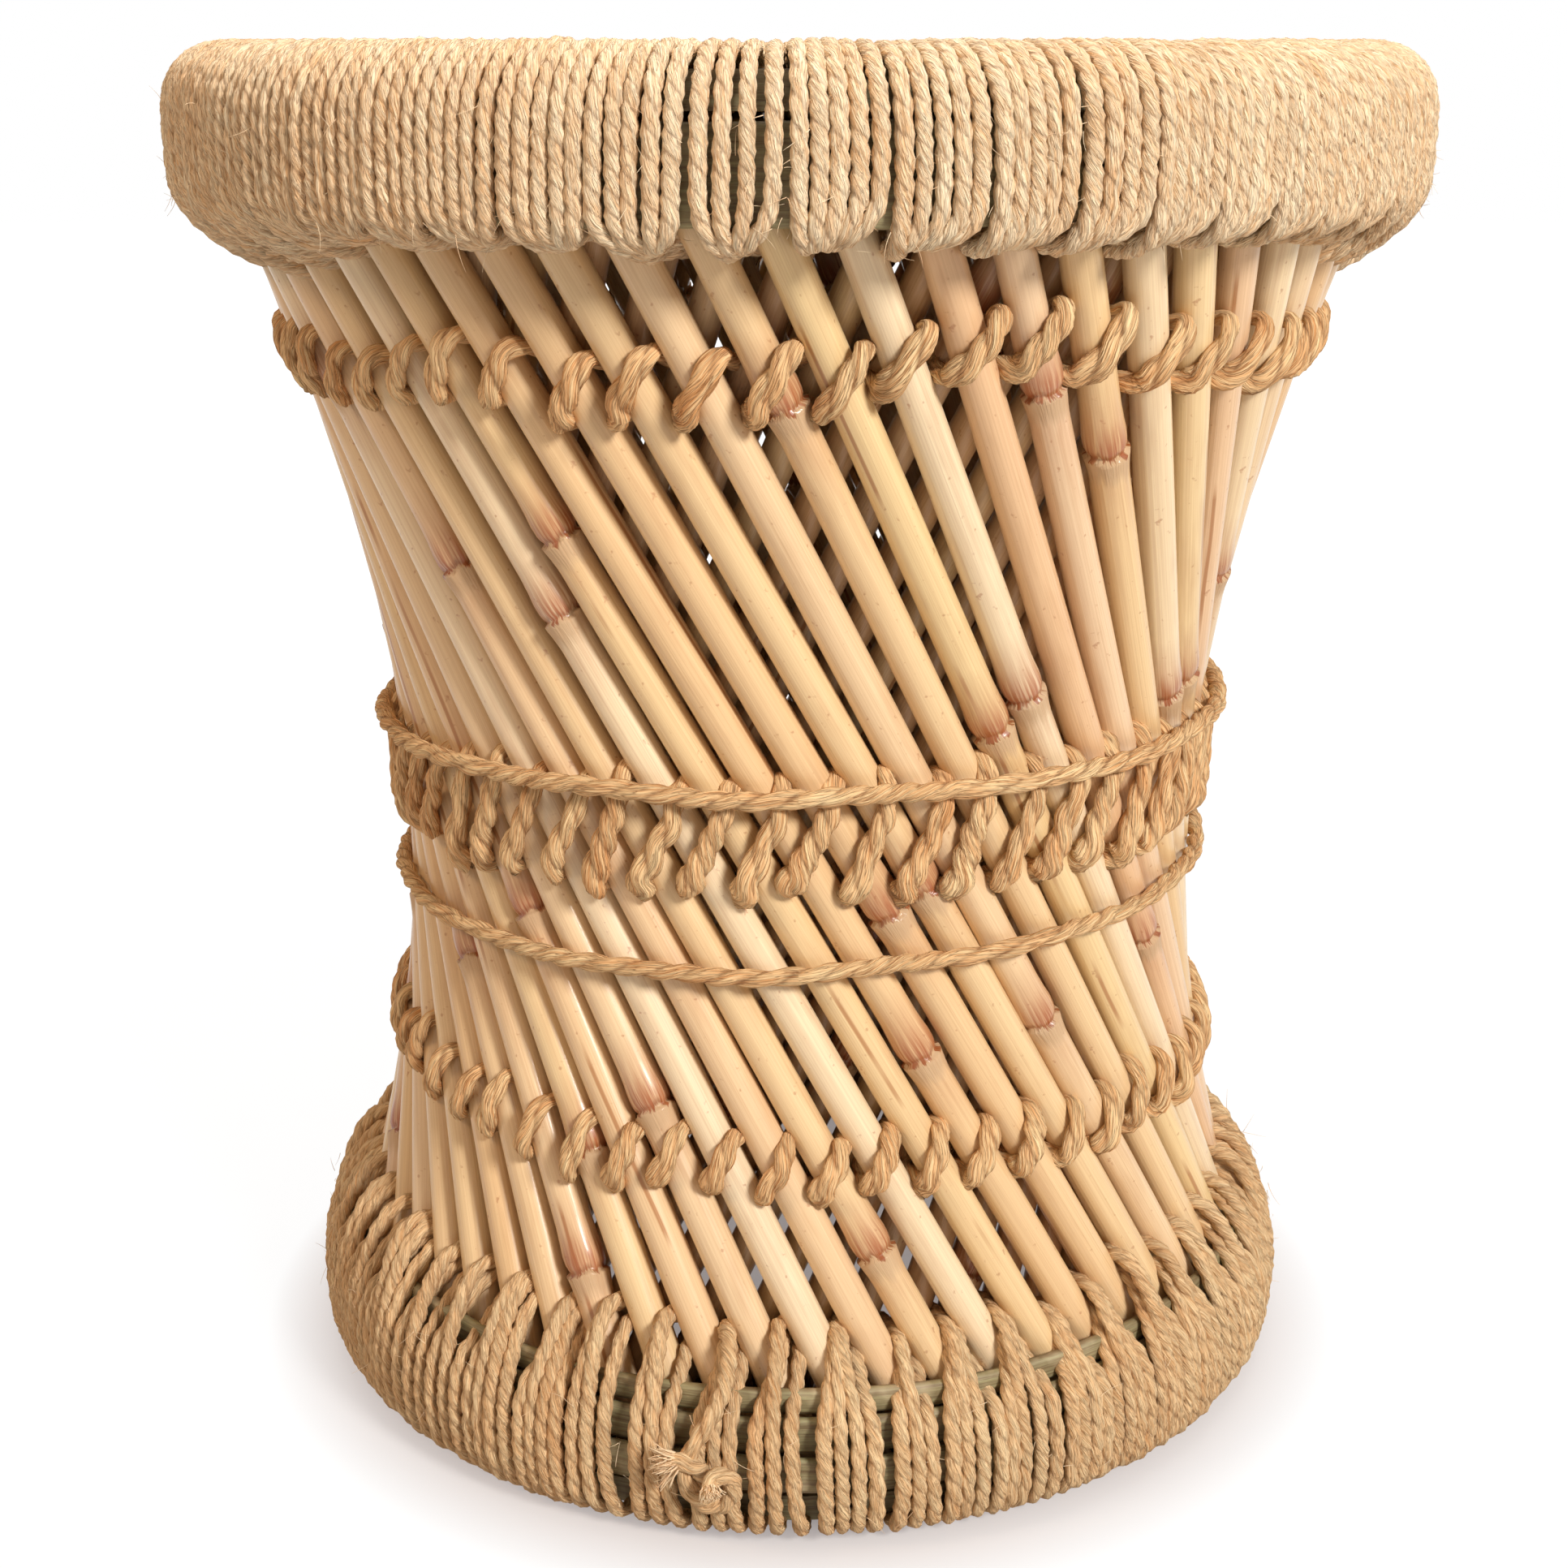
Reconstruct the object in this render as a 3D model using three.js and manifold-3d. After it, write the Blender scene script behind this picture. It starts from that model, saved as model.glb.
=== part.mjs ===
// A mudda stool: two layers of straight canes that lean opposite ways, bound into a rope-covered
// ring at the top and another at the foot, tied to each other by three rows of lashing and two
// bands of twine, under a woven rope seat.
//
// Units are millimetres, +Z is up and the stool stands on z = 0 with its axis on the Z axis.
// Azimuth is measured round the axis from the front, which faces -Y, towards +X.

import * as THREE from "three";
import { mergeVertices } from "three/addons/utils/BufferGeometryUtils.js";
import Module from "manifold-3d";

const wasm = await Module();
wasm.setup();

// Overall form. Every cane is a straight line that passes the waist at its nearest to the axis,
// so the body is drawn in there and flares to both ends.
const stoolHeight = 450;
const caneHeadRadius = 187.8; // centre lines of the outer canes, at their upper ends
const caneWaistRadius = 132.1;
const caneFootRadius = 162.4;
const caneHeadDrop = 18; // from the top of the stool down to the upper ends of the canes
const caneFootHeight = 20;
const clearance = 0.3; // left between pieces that touch

// Canes
const groupCount = 18; // groups of canes round the stool, in each layer
const canesPerGroup = 3;
const outerCaneRadius = 5.8;
const innerCaneRadius = 5.5;
const layerClearance = 0.6; // between the two layers where canes cross
const nodeHeight = 216; // level of the swollen joints of the culms, where neighbours touch
const nodeHalfLength = 4;
const nodeBite = 0.4; // how far each swollen joint of a group presses into the next one
const groupPitchShare = 0.975; // pitch inside a group, as a share of an even pitch
const caneSides = 6;

// Split hoops, which hold the ends of the canes from outside and inside
const hoopThickness = 2.8;
const rimHoopHeight = 13;
const baseHoopHeight = 11.5;
const ringSegments = 32; // all hoops, bands and hollows share these facets, in step
const capHoopChamfer = 5;

// Rope covers of the two rings, drawn as ribs
const rimRope = 4.6;
const baseRope = 4.8;
const ribDepthShare = 0.32; // of the rope's diameter
const rimRibs = 90;
const baseRibs = groupCount * canesPerGroup; // the turns that pass between two canes make one rib
const rimOuterLipDrop = 61; // from the top of the stool
const rimInnerLipDrop = 48;
const baseOuterLipHeight = 74;
const baseInnerLipHeight = 60;
const floorCut = 0.5; // depth of the flat on which the foot stands

// Lashings and bands of twine
const twineRadius = 2;
const twineSides = 4;
const upperLashingDrop = 88; // from the top of the stool
const lowerLashingHeight = 117;
const rowHalfHeight = 6; // half of the height that the two plain lashings cover
const upperBandHeight = 238.7;
const lowerBandHeight = 182.3;
const lowerBandTiltHeight = 5; // the lower band is this much higher on the right, lower on the left
const waistStitchHeight = 24;
const jointRise = 0.9; // the waist stitches pass this much higher, over the swollen joints
const stitchShare = 0.26; // half of a stitch's width, as a share of the pitch between canes

// Seat
const seatRecess = 16; // from the top of the stool down to the edge of the seat
const seatThickness = 9;
const seatDish = 3;
const seatFlatRadius = 110;
const seatBorder = 7;

// Tied end of the base rope
const knotRibs = 1.5; // counted from the front to the left, so it lies between two ribs
const knotHeight = 27;
const knotRadius = 6.5;
const knotFlattening = 0.62;
const tailLength = 17;
const tailRadius = 2.6;
const tailSides = 5;
const tailSpread = THREE.MathUtils.degToRad(38); // between each tail and straight down
const lumpSegments = [8, 6];

const caneHeadHeight = stoolHeight - caneHeadDrop;
const rimOuterLipHeight = stoolHeight - rimOuterLipDrop;
const rimInnerLipHeight = stoolHeight - rimInnerLipDrop;
const upperLashingHeight = stoolHeight - upperLashingDrop;

// Angle between a direction round a culm, taken from the one that faces outwards at its swollen
// joint, and the nearest corner of the culm. A corner faces each neighbour, a quarter turn away.
function offCorner(angle) {
  const side = (2 * Math.PI) / caneSides;
  const sidesAway = (angle - Math.PI / 2) / side;
  return side * Math.abs(sidesAway - Math.round(sidesAway));
}

// The canes of one layer as lines: at height z a cane is s along its plan chord from the point
// nearest to the axis, so its radius is the hypotenuse of the waist radius and s. lean is 1 where
// the canes run down to the right and -1 where they run down to the left.
function caneLayer(head, waist, foot, radius, lean) {
  const rise = caneHeadHeight - caneFootHeight;
  const headReach = Math.sqrt(head * head - waist * waist);
  const footReach = Math.sqrt(foot * foot - waist * waist);
  const slope = (headReach + footReach) / rise;
  const reachAt = (z) => headReach - slope * (caneHeadHeight - z);
  const radiusAt = (z) => Math.hypot(waist, reachAt(z));
  const turnAt = (z) => -lean * Math.atan(reachAt(z) / waist);
  // A cane that flares with height is cut by a level plane in an ellipse, a little wider than it.
  const flareAt = (z) => Math.hypot(1, (slope * reachAt(z)) / radiusAt(z));
  const reachOut = (z) =>
    radius * flareAt(z) * Math.cos(offCorner(turnAt(z) - turnAt(nodeHeight)));
  return {
    waist,
    radius,
    lean,
    slope,
    radiusAt,
    turnAt,
    flareAt,
    outside: (z) => radiusAt(z) + reachOut(z),
    inside: (z) => radiusAt(z) - reachOut(z),
    // point on the centre line of the cane that passes the waist at this azimuth
    pointAt: (azimuth, z) => onRing(radiusAt(z), azimuth + turnAt(z), z),
  };
}

function onRing(radius, azimuth, z) {
  return new THREE.Vector3(
    radius * Math.sin(azimuth),
    -radius * Math.cos(azimuth),
    z,
  );
}

const evenPitch = (2 * Math.PI) / (groupCount * canesPerGroup);
const groupPitch = evenPitch * groupPitchShare;

// The inner layer lies inside the outer one by a step that grows with the flare.
const outer = caneLayer(
  caneHeadRadius,
  caneWaistRadius,
  caneFootRadius,
  outerCaneRadius,
  1,
);
const layerStep = outerCaneRadius + innerCaneRadius + layerClearance;
const inner = caneLayer(
  caneHeadRadius - layerStep * outer.flareAt(caneHeadHeight),
  caneWaistRadius - layerStep,
  caneFootRadius - layerStep * outer.flareAt(caneFootHeight),
  innerCaneRadius,
  -1,
);

// A ring with flat facets is widened so that the middles of its facets, and not only its corners,
// stay clear of what it goes round.
const cornerRadius = (radius) => radius / Math.cos(Math.PI / ringSegments);

// Solids and geometries

function plainGeometry(geometry) {
  const plain = new THREE.BufferGeometry();
  plain.setAttribute("position", geometry.getAttribute("position"));
  plain.setIndex(geometry.index);
  const merged = mergeVertices(plain);
  // A lathe closes on its axis with faces of no area, which a solid can't hold.
  const index = [];
  for (let i = 0; i < merged.index.count; i += 3) {
    const [a, b, c] = [0, 1, 2].map((k) => merged.index.getX(i + k));
    if (a !== b && b !== c && c !== a) index.push(a, b, c);
  }
  merged.setIndex(index);
  return merged;
}

function toSolid(geometry) {
  const plain = plainGeometry(geometry);
  return new wasm.Manifold(
    new wasm.Mesh({
      numProp: 3,
      vertProperties: new Float32Array(plain.getAttribute("position").array),
      triVerts: new Uint32Array(plain.index.array),
    }),
  );
}

function toGeometry(solid) {
  const mesh = solid.getMesh();
  const geometry = new THREE.BufferGeometry();
  geometry.setAttribute(
    "position",
    new THREE.BufferAttribute(mesh.vertProperties, mesh.numProp),
  );
  geometry.setIndex(new THREE.BufferAttribute(mesh.triVerts, 1));
  return geometry;
}

// Turned about the Z axis. The profile is a list of [radius, height], and its ends lie on the axis
// or meet each other. It is listed with the material on its left, going up at the outside.
function turned(profile) {
  const points = profile.map(([r, z]) => new THREE.Vector2(r, z));
  return new THREE.LatheGeometry(points, ringSegments).rotateX(Math.PI / 2);
}

// A hoop with a rectangular section. innerRadius is where the middles of its facets touch.
function hoop(innerRadius, bottom, height) {
  const inside = cornerRadius(innerRadius);
  return ring(inside, inside + hoopThickness, bottom, height);
}

function ring(inside, outside, bottom, height) {
  return turned([
    [inside, bottom],
    [outside, bottom],
    [outside, bottom + height],
    [inside, bottom + height],
    [inside, bottom],
  ]);
}

// Canes

// One cane of a layer, as a turned culm with a swollen joint, laid along its line.
function cane(layer, azimuth, jointHeight, swollenRadius) {
  const foot = layer.pointAt(azimuth, caneFootHeight);
  const head = layer.pointAt(azimuth, caneHeadHeight);
  const along = head.clone().sub(foot);
  const length = along.length();
  along.normalize();
  const perHeight = length / (caneHeadHeight - caneFootHeight);
  const jointAt = (jointHeight - caneFootHeight) * perHeight;
  const profile = [
    [0, 0],
    [layer.radius, 0],
    [layer.radius, jointAt - nodeHalfLength],
    [swollenRadius, jointAt],
    [layer.radius, jointAt + nodeHalfLength],
    [layer.radius, length],
    [0, length],
  ].map(([r, y]) => new THREE.Vector2(r, y));
  // A corner of the culm faces each neighbour, so that the swollen joints meet.
  const culm = new THREE.LatheGeometry(profile, caneSides, Math.PI / 2);
  const joint = layer.pointAt(azimuth, nodeHeight);
  const outward = new THREE.Vector3(joint.x, joint.y, 0);
  const sideways = new THREE.Vector3().crossVectors(along, outward).normalize();
  const facing = new THREE.Vector3().crossVectors(sideways, along);
  culm.applyMatrix4(new THREE.Matrix4().makeBasis(sideways, along, facing));
  return culm.translate(foot.x, foot.y, foot.z);
}

// A group of canes whose swollen joints touch. Each joint lies where its cane is nearest to the
// middle of the row, so the row is square to the canes and its joints step down along it.
function caneGroup(layer, middle) {
  const rowMiddle = layer.pointAt(middle, nodeHeight);
  const joints = [];
  for (let i = 0; i < canesPerGroup; i++) {
    const place = i - (canesPerGroup - 1) / 2;
    const azimuth = middle + place * groupPitch;
    const foot = layer.pointAt(azimuth, caneFootHeight);
    const head = layer.pointAt(azimuth, caneHeadHeight);
    const joint = new THREE.Vector3();
    new THREE.Line3(foot, head).closestPointToPoint(rowMiddle, false, joint);
    joints.push({ azimuth, joint });
  }
  const gaps = joints.slice(1).map(({ joint }, i) => joint.distanceTo(joints[i].joint));
  const swollenRadius = Math.max(...gaps) / 2 + nodeBite;
  const members = joints.map(({ azimuth, joint }) =>
    toSolid(cane(layer, azimuth, joint.z, swollenRadius)),
  );
  return toGeometry(members.reduce((a, b) => a.add(b)));
}

// Rope covers

// Moves an open outline outwards, to the right of its direction, keeping its corners mitred.
function offsetOutline(outline, distance) {
  const edges = outline.slice(1).map(([r, z], i) => {
    const [dr, dz] = [r - outline[i][0], z - outline[i][1]];
    const length = Math.hypot(dr, dz);
    return [dz / length, -dr / length];
  });
  return outline.map(([r, z], i) => {
    const [ar, az] = edges[Math.max(i - 1, 0)];
    const [br, bz] = edges[Math.min(i, edges.length - 1)];
    const miter = distance / (1 + ar * br + az * bz);
    return [r + (ar + br) * miter, z + (az + bz) * miter];
  });
}

// A cover of rope turns over a hollow core: the outside rises and falls with each rib, the inside
// is plain, and both are joined along the two lips between which the canes come out. The core
// outline is a list of [radius, height] with the rope on its right.
function ropeCover(core, rope, ribs) {
  const crest = offsetOutline(core, rope);
  const valley = offsetOutline(core, rope * (1 - ribDepthShare));
  // Ribs that would reach below the floor are worn flat on it.
  crest.forEach((point, i) => {
    if (point[1] < 0) point[1] = valley[i][1] = 0;
  });
  const skinRings = 2 * ribs;
  const positions = [];
  const index = [];
  const addRing = (outline, azimuth) =>
    outline.forEach(([r, z]) => positions.push(...onRing(r, azimuth, z)));
  for (let k = 0; k < skinRings; k++)
    addRing(k % 2 ? valley : crest, (2 * Math.PI * k) / skinRings);
  for (let k = 0; k < ringSegments; k++)
    addRing(core, (2 * Math.PI * k) / ringSegments);
  const skin = (k, i) => (k % skinRings) * core.length + i;
  const bore = (k, i) => (skinRings + (k % ringSegments)) * core.length + i;
  const quad = (a, b, c, d) => index.push(a, b, c, a, c, d);
  for (let i = 0; i + 1 < core.length; i++) {
    for (let k = 0; k < skinRings; k++)
      quad(skin(k, i), skin(k + 1, i), skin(k + 1, i + 1), skin(k, i + 1));
    for (let k = 0; k < ringSegments; k++)
      quad(bore(k, i), bore(k, i + 1), bore(k + 1, i + 1), bore(k + 1, i));
  }
  // Along each lip the fine edge of the skin is stitched to the coarse edge of the bore.
  const stitchLip = (i, turn) => {
    let s = 0;
    let b = 0;
    while (s < skinRings || b < ringSegments) {
      const skinNext = (s + 1) / skinRings;
      const boreNext = (b + 1) / ringSegments;
      const corner =
        b < ringSegments && (s >= skinRings || boreNext < skinNext)
          ? [skin(s, i), bore(b, i), bore(++b, i)]
          : [skin(s, i), bore(b, i), skin(++s, i)];
      index.push(...(turn ? corner : corner.reverse()));
    }
  };
  stitchLip(0, true);
  stitchLip(core.length - 1, false);
  const geometry = new THREE.BufferGeometry();
  geometry.setAttribute(
    "position",
    new THREE.Float32BufferAttribute(positions, 3),
  );
  geometry.setIndex(index);
  return geometry;
}

// Twine

// A closed cord through a loop of points round the stool's axis.
function cordLoop(points, radius, sides) {
  const positions = [];
  const index = [];
  const count = points.length;
  points.forEach((point, k) => {
    const ahead = points[(k + 1) % count];
    const behind = points[(k + count - 1) % count];
    const along = ahead.clone().sub(behind).normalize();
    const outward = new THREE.Vector3(point.x, point.y, 0).normalize();
    const across = new THREE.Vector3().crossVectors(outward, along).normalize();
    const out = new THREE.Vector3().crossVectors(along, across);
    for (let j = 0; j < sides; j++) {
      const angle = (2 * Math.PI * (j + 1 / 2)) / sides;
      const corner = point
        .clone()
        .addScaledVector(out, radius * Math.cos(angle))
        .addScaledVector(across, radius * Math.sin(angle));
      positions.push(...corner);
    }
  });
  for (let k = 0; k < count; k++)
    for (let j = 0; j < sides; j++) {
      const a = k * sides + j;
      const b = k * sides + ((j + 1) % sides);
      const c = ((k + 1) % count) * sides + ((j + 1) % sides);
      const d = ((k + 1) % count) * sides + j;
      index.push(a, c, b, a, d, c);
    }
  const geometry = new THREE.BufferGeometry();
  geometry.setAttribute(
    "position",
    new THREE.Float32BufferAttribute(positions, 3),
  );
  geometry.setIndex(index);
  return geometry;
}

// Corner radius of a twine whose flats are one twine radius from its middle.
const twineCorner = twineRadius / Math.cos(Math.PI / twineSides);

// Radius of a twine's middle where it lies on the outer canes, clear of them over its height.
const twineSeat = (z) =>
  Math.max(outer.outside(z - twineRadius), outer.outside(z + twineRadius)) +
  clearance +
  twineRadius;

// Each cane of the outer layer at its azimuth at a height, in order round the stool.
function outerCaneAzimuths(z) {
  const azimuths = [];
  for (let g = 0; g < groupCount; g++)
    for (let i = 0; i < canesPerGroup; i++) {
      const offset = (i - (canesPerGroup - 1) / 2) * groupPitch;
      azimuths.push(g * canesPerGroup * evenPitch + offset + outer.turnAt(z));
    }
  return azimuths;
}

// A lashing that climbs across each cane and drops again in the gap before the next one. rise
// lifts it off the canes.
function lashing(bottom, top, rise) {
  const points = [];
  const middle = (bottom + top) / 2;
  const half = stitchShare * evenPitch;
  const chord = Math.cos(half);
  for (const azimuth of outerCaneAzimuths(middle)) {
    const low = (twineSeat(bottom) + rise) / chord;
    const high = (twineSeat(top) + rise) / chord;
    points.push(onRing(low, azimuth - half, bottom));
    points.push(onRing(high, azimuth + half, top));
  }
  return cordLoop(points, twineCorner, twineSides);
}

// A band of twine drawn tight round the outer canes, level or tilted to the right.
function band(height, tilt) {
  const points = [];
  for (let k = 0; k < ringSegments; k++) {
    const azimuth = (2 * Math.PI * k) / ringSegments;
    const z = height + tilt * Math.sin(azimuth);
    points.push(onRing(cornerRadius(twineSeat(z)), azimuth, z));
  }
  return cordLoop(points, twineCorner, twineSides);
}

// Rings

const headTilt = outerCaneRadius * Math.sin(Math.atan(outer.slope)); // rise of a cut end's edge
const rimHoopTop = caneHeadHeight - clearance;
const rimUpperBottom = rimHoopTop - rimHoopHeight;
const rimLowerBottom = rimUpperBottom - clearance - rimHoopHeight;
const rimHoopInner = outer.outside(rimHoopTop) + clearance;
const rimHoopOuter = cornerRadius(rimHoopInner) + hoopThickness;
const rimInnerHoopOuter = inner.inside(rimUpperBottom) - clearance;
const rimInnerHoopInner = rimInnerHoopOuter - hoopThickness;

const baseHoopBottom = caneFootHeight + clearance;
const baseHoopStep = baseHoopHeight + clearance;
const baseHoopInner = (i) =>
  outer.outside(baseHoopBottom + i * baseHoopStep) + clearance;
const baseHoopOuter = (i) => cornerRadius(baseHoopInner(i)) + hoopThickness;
const baseHoopCount = 3;
const baseInnerHoopTop = baseHoopBottom + baseHoopHeight;
const baseInnerHoopOuter = inner.inside(baseInnerHoopTop) - clearance;
const baseInnerHoopInner = baseInnerHoopOuter - hoopThickness;

// The cap hoop lies on the upper ends of the canes, and the foot hoop under their lower ends.
const capTop = stoolHeight - rimRope - clearance;
const capBottom = caneHeadHeight + headTilt + clearance;
const capInner = inner.inside(caneHeadHeight);
const capOuter = outer.outside(caneHeadHeight);
const footTop = caneFootHeight - headTilt - clearance;
const footBottom = baseRope - floorCut + clearance;
const footInner = inner.inside(caneFootHeight);
const footOuter = outer.outside(caneFootHeight);

function capHoop() {
  return turned([
    [capInner, capBottom],
    [capOuter, capBottom],
    [capOuter - capHoopChamfer, capTop],
    [capInner + capHoopChamfer, capTop],
    [capInner, capBottom],
  ]);
}

function footHoop() {
  return turned([
    [footInner + capHoopChamfer, footBottom],
    [footOuter - capHoopChamfer, footBottom],
    [footOuter, footTop],
    [footInner, footTop],
    [footInner + capHoopChamfer, footBottom],
  ]);
}

// A cover's hollow has the facets of the hoops in it, so its corners clear theirs by this much.
const ringClearance = cornerRadius(clearance);

// The hollow of the rim's cover, from the lip outside the canes over the top to the inner lip.
const rimCore = [
  [
    cornerRadius(outer.outside(rimOuterLipHeight) + clearance),
    rimOuterLipHeight,
  ],
  [rimHoopOuter + ringClearance, rimLowerBottom - clearance],
  [rimHoopOuter + ringClearance, rimHoopTop + clearance],
  [capOuter - capHoopChamfer + ringClearance, capTop + clearance],
  [capInner + capHoopChamfer - ringClearance, capTop + clearance],
  [rimInnerHoopInner - ringClearance, rimHoopTop + clearance],
  [inner.inside(rimInnerLipHeight) - clearance, rimInnerLipHeight],
];

// The hollow of the base's cover, from the inner lip under the foot hoop to the outer lip.
const baseCore = [
  [inner.inside(baseInnerLipHeight) - clearance, baseInnerLipHeight],
  [baseInnerHoopInner - ringClearance, footTop],
  [footInner + capHoopChamfer - ringClearance, footBottom - clearance],
  [footOuter - capHoopChamfer + ringClearance, footBottom - clearance],
  [baseHoopOuter(0) + ringClearance, footTop],
  [baseHoopOuter(0) + ringClearance, baseHoopBottom + baseHoopHeight],
  [
    baseHoopOuter(baseHoopCount - 1) + ringClearance,
    baseHoopBottom + baseHoopCount * baseHoopStep,
  ],
  [
    cornerRadius(outer.outside(baseOuterLipHeight) + clearance),
    baseOuterLipHeight,
  ],
];

function rimCover() {
  return ropeCover(rimCore, rimRope, rimRibs);
}

function baseCover() {
  return ropeCover(baseCore, baseRope, baseRibs);
}

// Seat

function seat() {
  const top = stoolHeight - seatRecess;
  const bottom = top - seatThickness;
  const middle = (bottom + top) / 2;
  const [wall, lip] = rimCore.slice(-2);
  const bore = THREE.MathUtils.mapLinear(middle, lip[1], wall[1], lip[0], wall[0]);
  const edge = bore - rimRope - clearance;
  return turned([
    [0, bottom - seatDish],
    [seatFlatRadius, bottom - seatDish],
    [edge - seatBorder, bottom],
    [edge, middle],
    [edge - seatBorder, top],
    [seatFlatRadius, top - seatDish],
    [0, top - seatDish],
  ]);
}

// Knot of the base rope: a flattened lump with two short tails that hang from it.
function baseKnot() {
  const ropeRadius = Math.max(...baseCore.map(([r]) => r)) + baseRope;
  const seatRadius = ropeRadius - ribDepthShare * baseRope;
  const azimuth = (-2 * Math.PI * knotRibs) / baseRibs;
  const depth = knotRadius * knotFlattening;
  const lump = toSolid(
    new THREE.SphereGeometry(knotRadius, ...lumpSegments).scale(1, knotFlattening, 1),
  );
  const tail = (side) => {
    const geometry = new THREE.CylinderGeometry(
      tailRadius,
      tailRadius,
      tailLength,
      tailSides,
    );
    geometry.translate(0, -tailLength / 2, 0);
    geometry.rotateX(Math.PI / 2);
    geometry.rotateY(side * tailSpread);
    return toSolid(geometry);
  };
  const knot = toGeometry(lump.add(tail(1)).add(tail(-1)));
  const middle = onRing(seatRadius + clearance + depth, azimuth, knotHeight);
  knot.rotateZ(azimuth);
  return knot.translate(middle.x, middle.y, middle.z);
}

// Materials, with the colours of the photographed finishes

const material = (color, roughness) =>
  new THREE.MeshStandardMaterial({ color, roughness, metalness: 0 });
const caneFinish = material(0xd9b981, 0.45);
const innerCaneFinish = material(0xb8935c, 0.5);
const hoopFinish = material(0xa39a72, 0.6);
const ropeFinish = material(0xc9a877, 0.85);
const twineFinish = material(0xb58a55, 0.85);
const seatFinish = material(0xc4a272, 0.85);

const stool = new THREE.Group();

function addPiece(name, geometry, finish) {
  const mesh = new THREE.Mesh(geometry, finish);
  mesh.name = name;
  stool.add(mesh);
}

// At nodeHeight the joints of the inner canes lie midway between those of the outer ones, so that
// no joint sits on a crossing.
const innerShift =
  outer.turnAt(nodeHeight) - inner.turnAt(nodeHeight) + evenPitch / 2;
for (let g = 0; g < groupCount; g++) {
  const number = String(g + 1).padStart(2, "0");
  const middle = g * canesPerGroup * evenPitch;
  addPiece(`outer_canes_${number}`, caneGroup(outer, middle), caneFinish);
  addPiece(
    `inner_canes_${number}`,
    caneGroup(inner, middle + innerShift),
    innerCaneFinish,
  );
}

addPiece(
  "rim_hoop_upper",
  hoop(rimHoopInner, rimUpperBottom, rimHoopHeight),
  hoopFinish,
);
addPiece(
  "rim_hoop_lower",
  hoop(rimHoopInner, rimLowerBottom, rimHoopHeight),
  hoopFinish,
);
addPiece(
  "rim_hoop_inner",
  ring(rimInnerHoopInner, rimInnerHoopOuter, rimUpperBottom, rimHoopHeight),
  hoopFinish,
);
addPiece("rim_cap_hoop", capHoop(), hoopFinish);
addPiece("rim_rope_cover", rimCover(), ropeFinish);

for (let i = 0; i < baseHoopCount; i++)
  addPiece(
    `base_hoop_${i + 1}`,
    hoop(baseHoopInner(i), baseHoopBottom + i * baseHoopStep, baseHoopHeight),
    hoopFinish,
  );
addPiece(
  "base_hoop_inner",
  ring(baseInnerHoopInner, baseInnerHoopOuter, baseHoopBottom, baseHoopHeight),
  hoopFinish,
);
addPiece("base_foot_hoop", footHoop(), hoopFinish);
addPiece("base_rope_cover", baseCover(), ropeFinish);
addPiece("base_rope_knot", baseKnot(), ropeFinish);

// The waist stitches hang from the upper band and pass over the swollen joints of the canes.
const stitchTop = upperBandHeight - 2 * twineRadius - clearance;
addPiece(
  "upper_lashing",
  lashing(upperLashingHeight - rowHalfHeight, upperLashingHeight + rowHalfHeight, 0),
  twineFinish,
);
addPiece("waist_band_upper", band(upperBandHeight, 0), twineFinish);
addPiece(
  "waist_lashing",
  lashing(stitchTop - waistStitchHeight, stitchTop, jointRise),
  twineFinish,
);
addPiece("waist_band_lower", band(lowerBandHeight, lowerBandTiltHeight), twineFinish);
addPiece(
  "lower_lashing",
  lashing(lowerLashingHeight - rowHalfHeight, lowerLashingHeight + rowHalfHeight, 0),
  twineFinish,
);
addPiece("seat_web", seat(), seatFinish);

export default stool;
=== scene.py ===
"""The looks of a mudda stool: two layers of straight canes, rope wound round the rings at the
top and the foot, three rows of lashing, two bands of twine and a seat of woven rope.

Lengths are metres, +Z is up, and the stool stands on z = 0. Azimuth is measured round the axis
from the front, which faces -Y, towards +X.
"""

import math
from collections import namedtuple

import bpy
import numpy as np
from bpy.props import FloatProperty, FloatVectorProperty, PointerProperty
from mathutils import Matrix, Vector


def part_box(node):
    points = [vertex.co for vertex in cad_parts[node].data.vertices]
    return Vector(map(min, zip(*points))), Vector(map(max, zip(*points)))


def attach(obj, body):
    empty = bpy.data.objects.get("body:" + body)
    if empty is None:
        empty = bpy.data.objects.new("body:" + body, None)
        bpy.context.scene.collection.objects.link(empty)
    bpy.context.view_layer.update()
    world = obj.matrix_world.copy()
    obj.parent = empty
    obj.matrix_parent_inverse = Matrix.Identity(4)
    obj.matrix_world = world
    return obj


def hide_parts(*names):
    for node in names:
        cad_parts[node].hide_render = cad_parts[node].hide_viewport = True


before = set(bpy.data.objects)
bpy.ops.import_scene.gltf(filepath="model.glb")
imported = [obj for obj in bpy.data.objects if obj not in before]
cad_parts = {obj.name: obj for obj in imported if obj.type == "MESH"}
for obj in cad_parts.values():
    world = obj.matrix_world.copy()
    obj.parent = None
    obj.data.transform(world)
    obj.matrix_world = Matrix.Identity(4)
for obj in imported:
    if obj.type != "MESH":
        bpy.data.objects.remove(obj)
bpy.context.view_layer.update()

bl_info = {
    "name": "Mudda Stool",
    "version": (1, 0, 0),
    "blender": (4, 5, 0),
    "location": "View3D > Sidebar > Mudda Stool",
    "description": "Builds the canes, ropes, lashings, bands and seat of a mudda stool",
    "category": "Object",
}

MM = 0.001
TURN = 2 * math.pi

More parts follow.
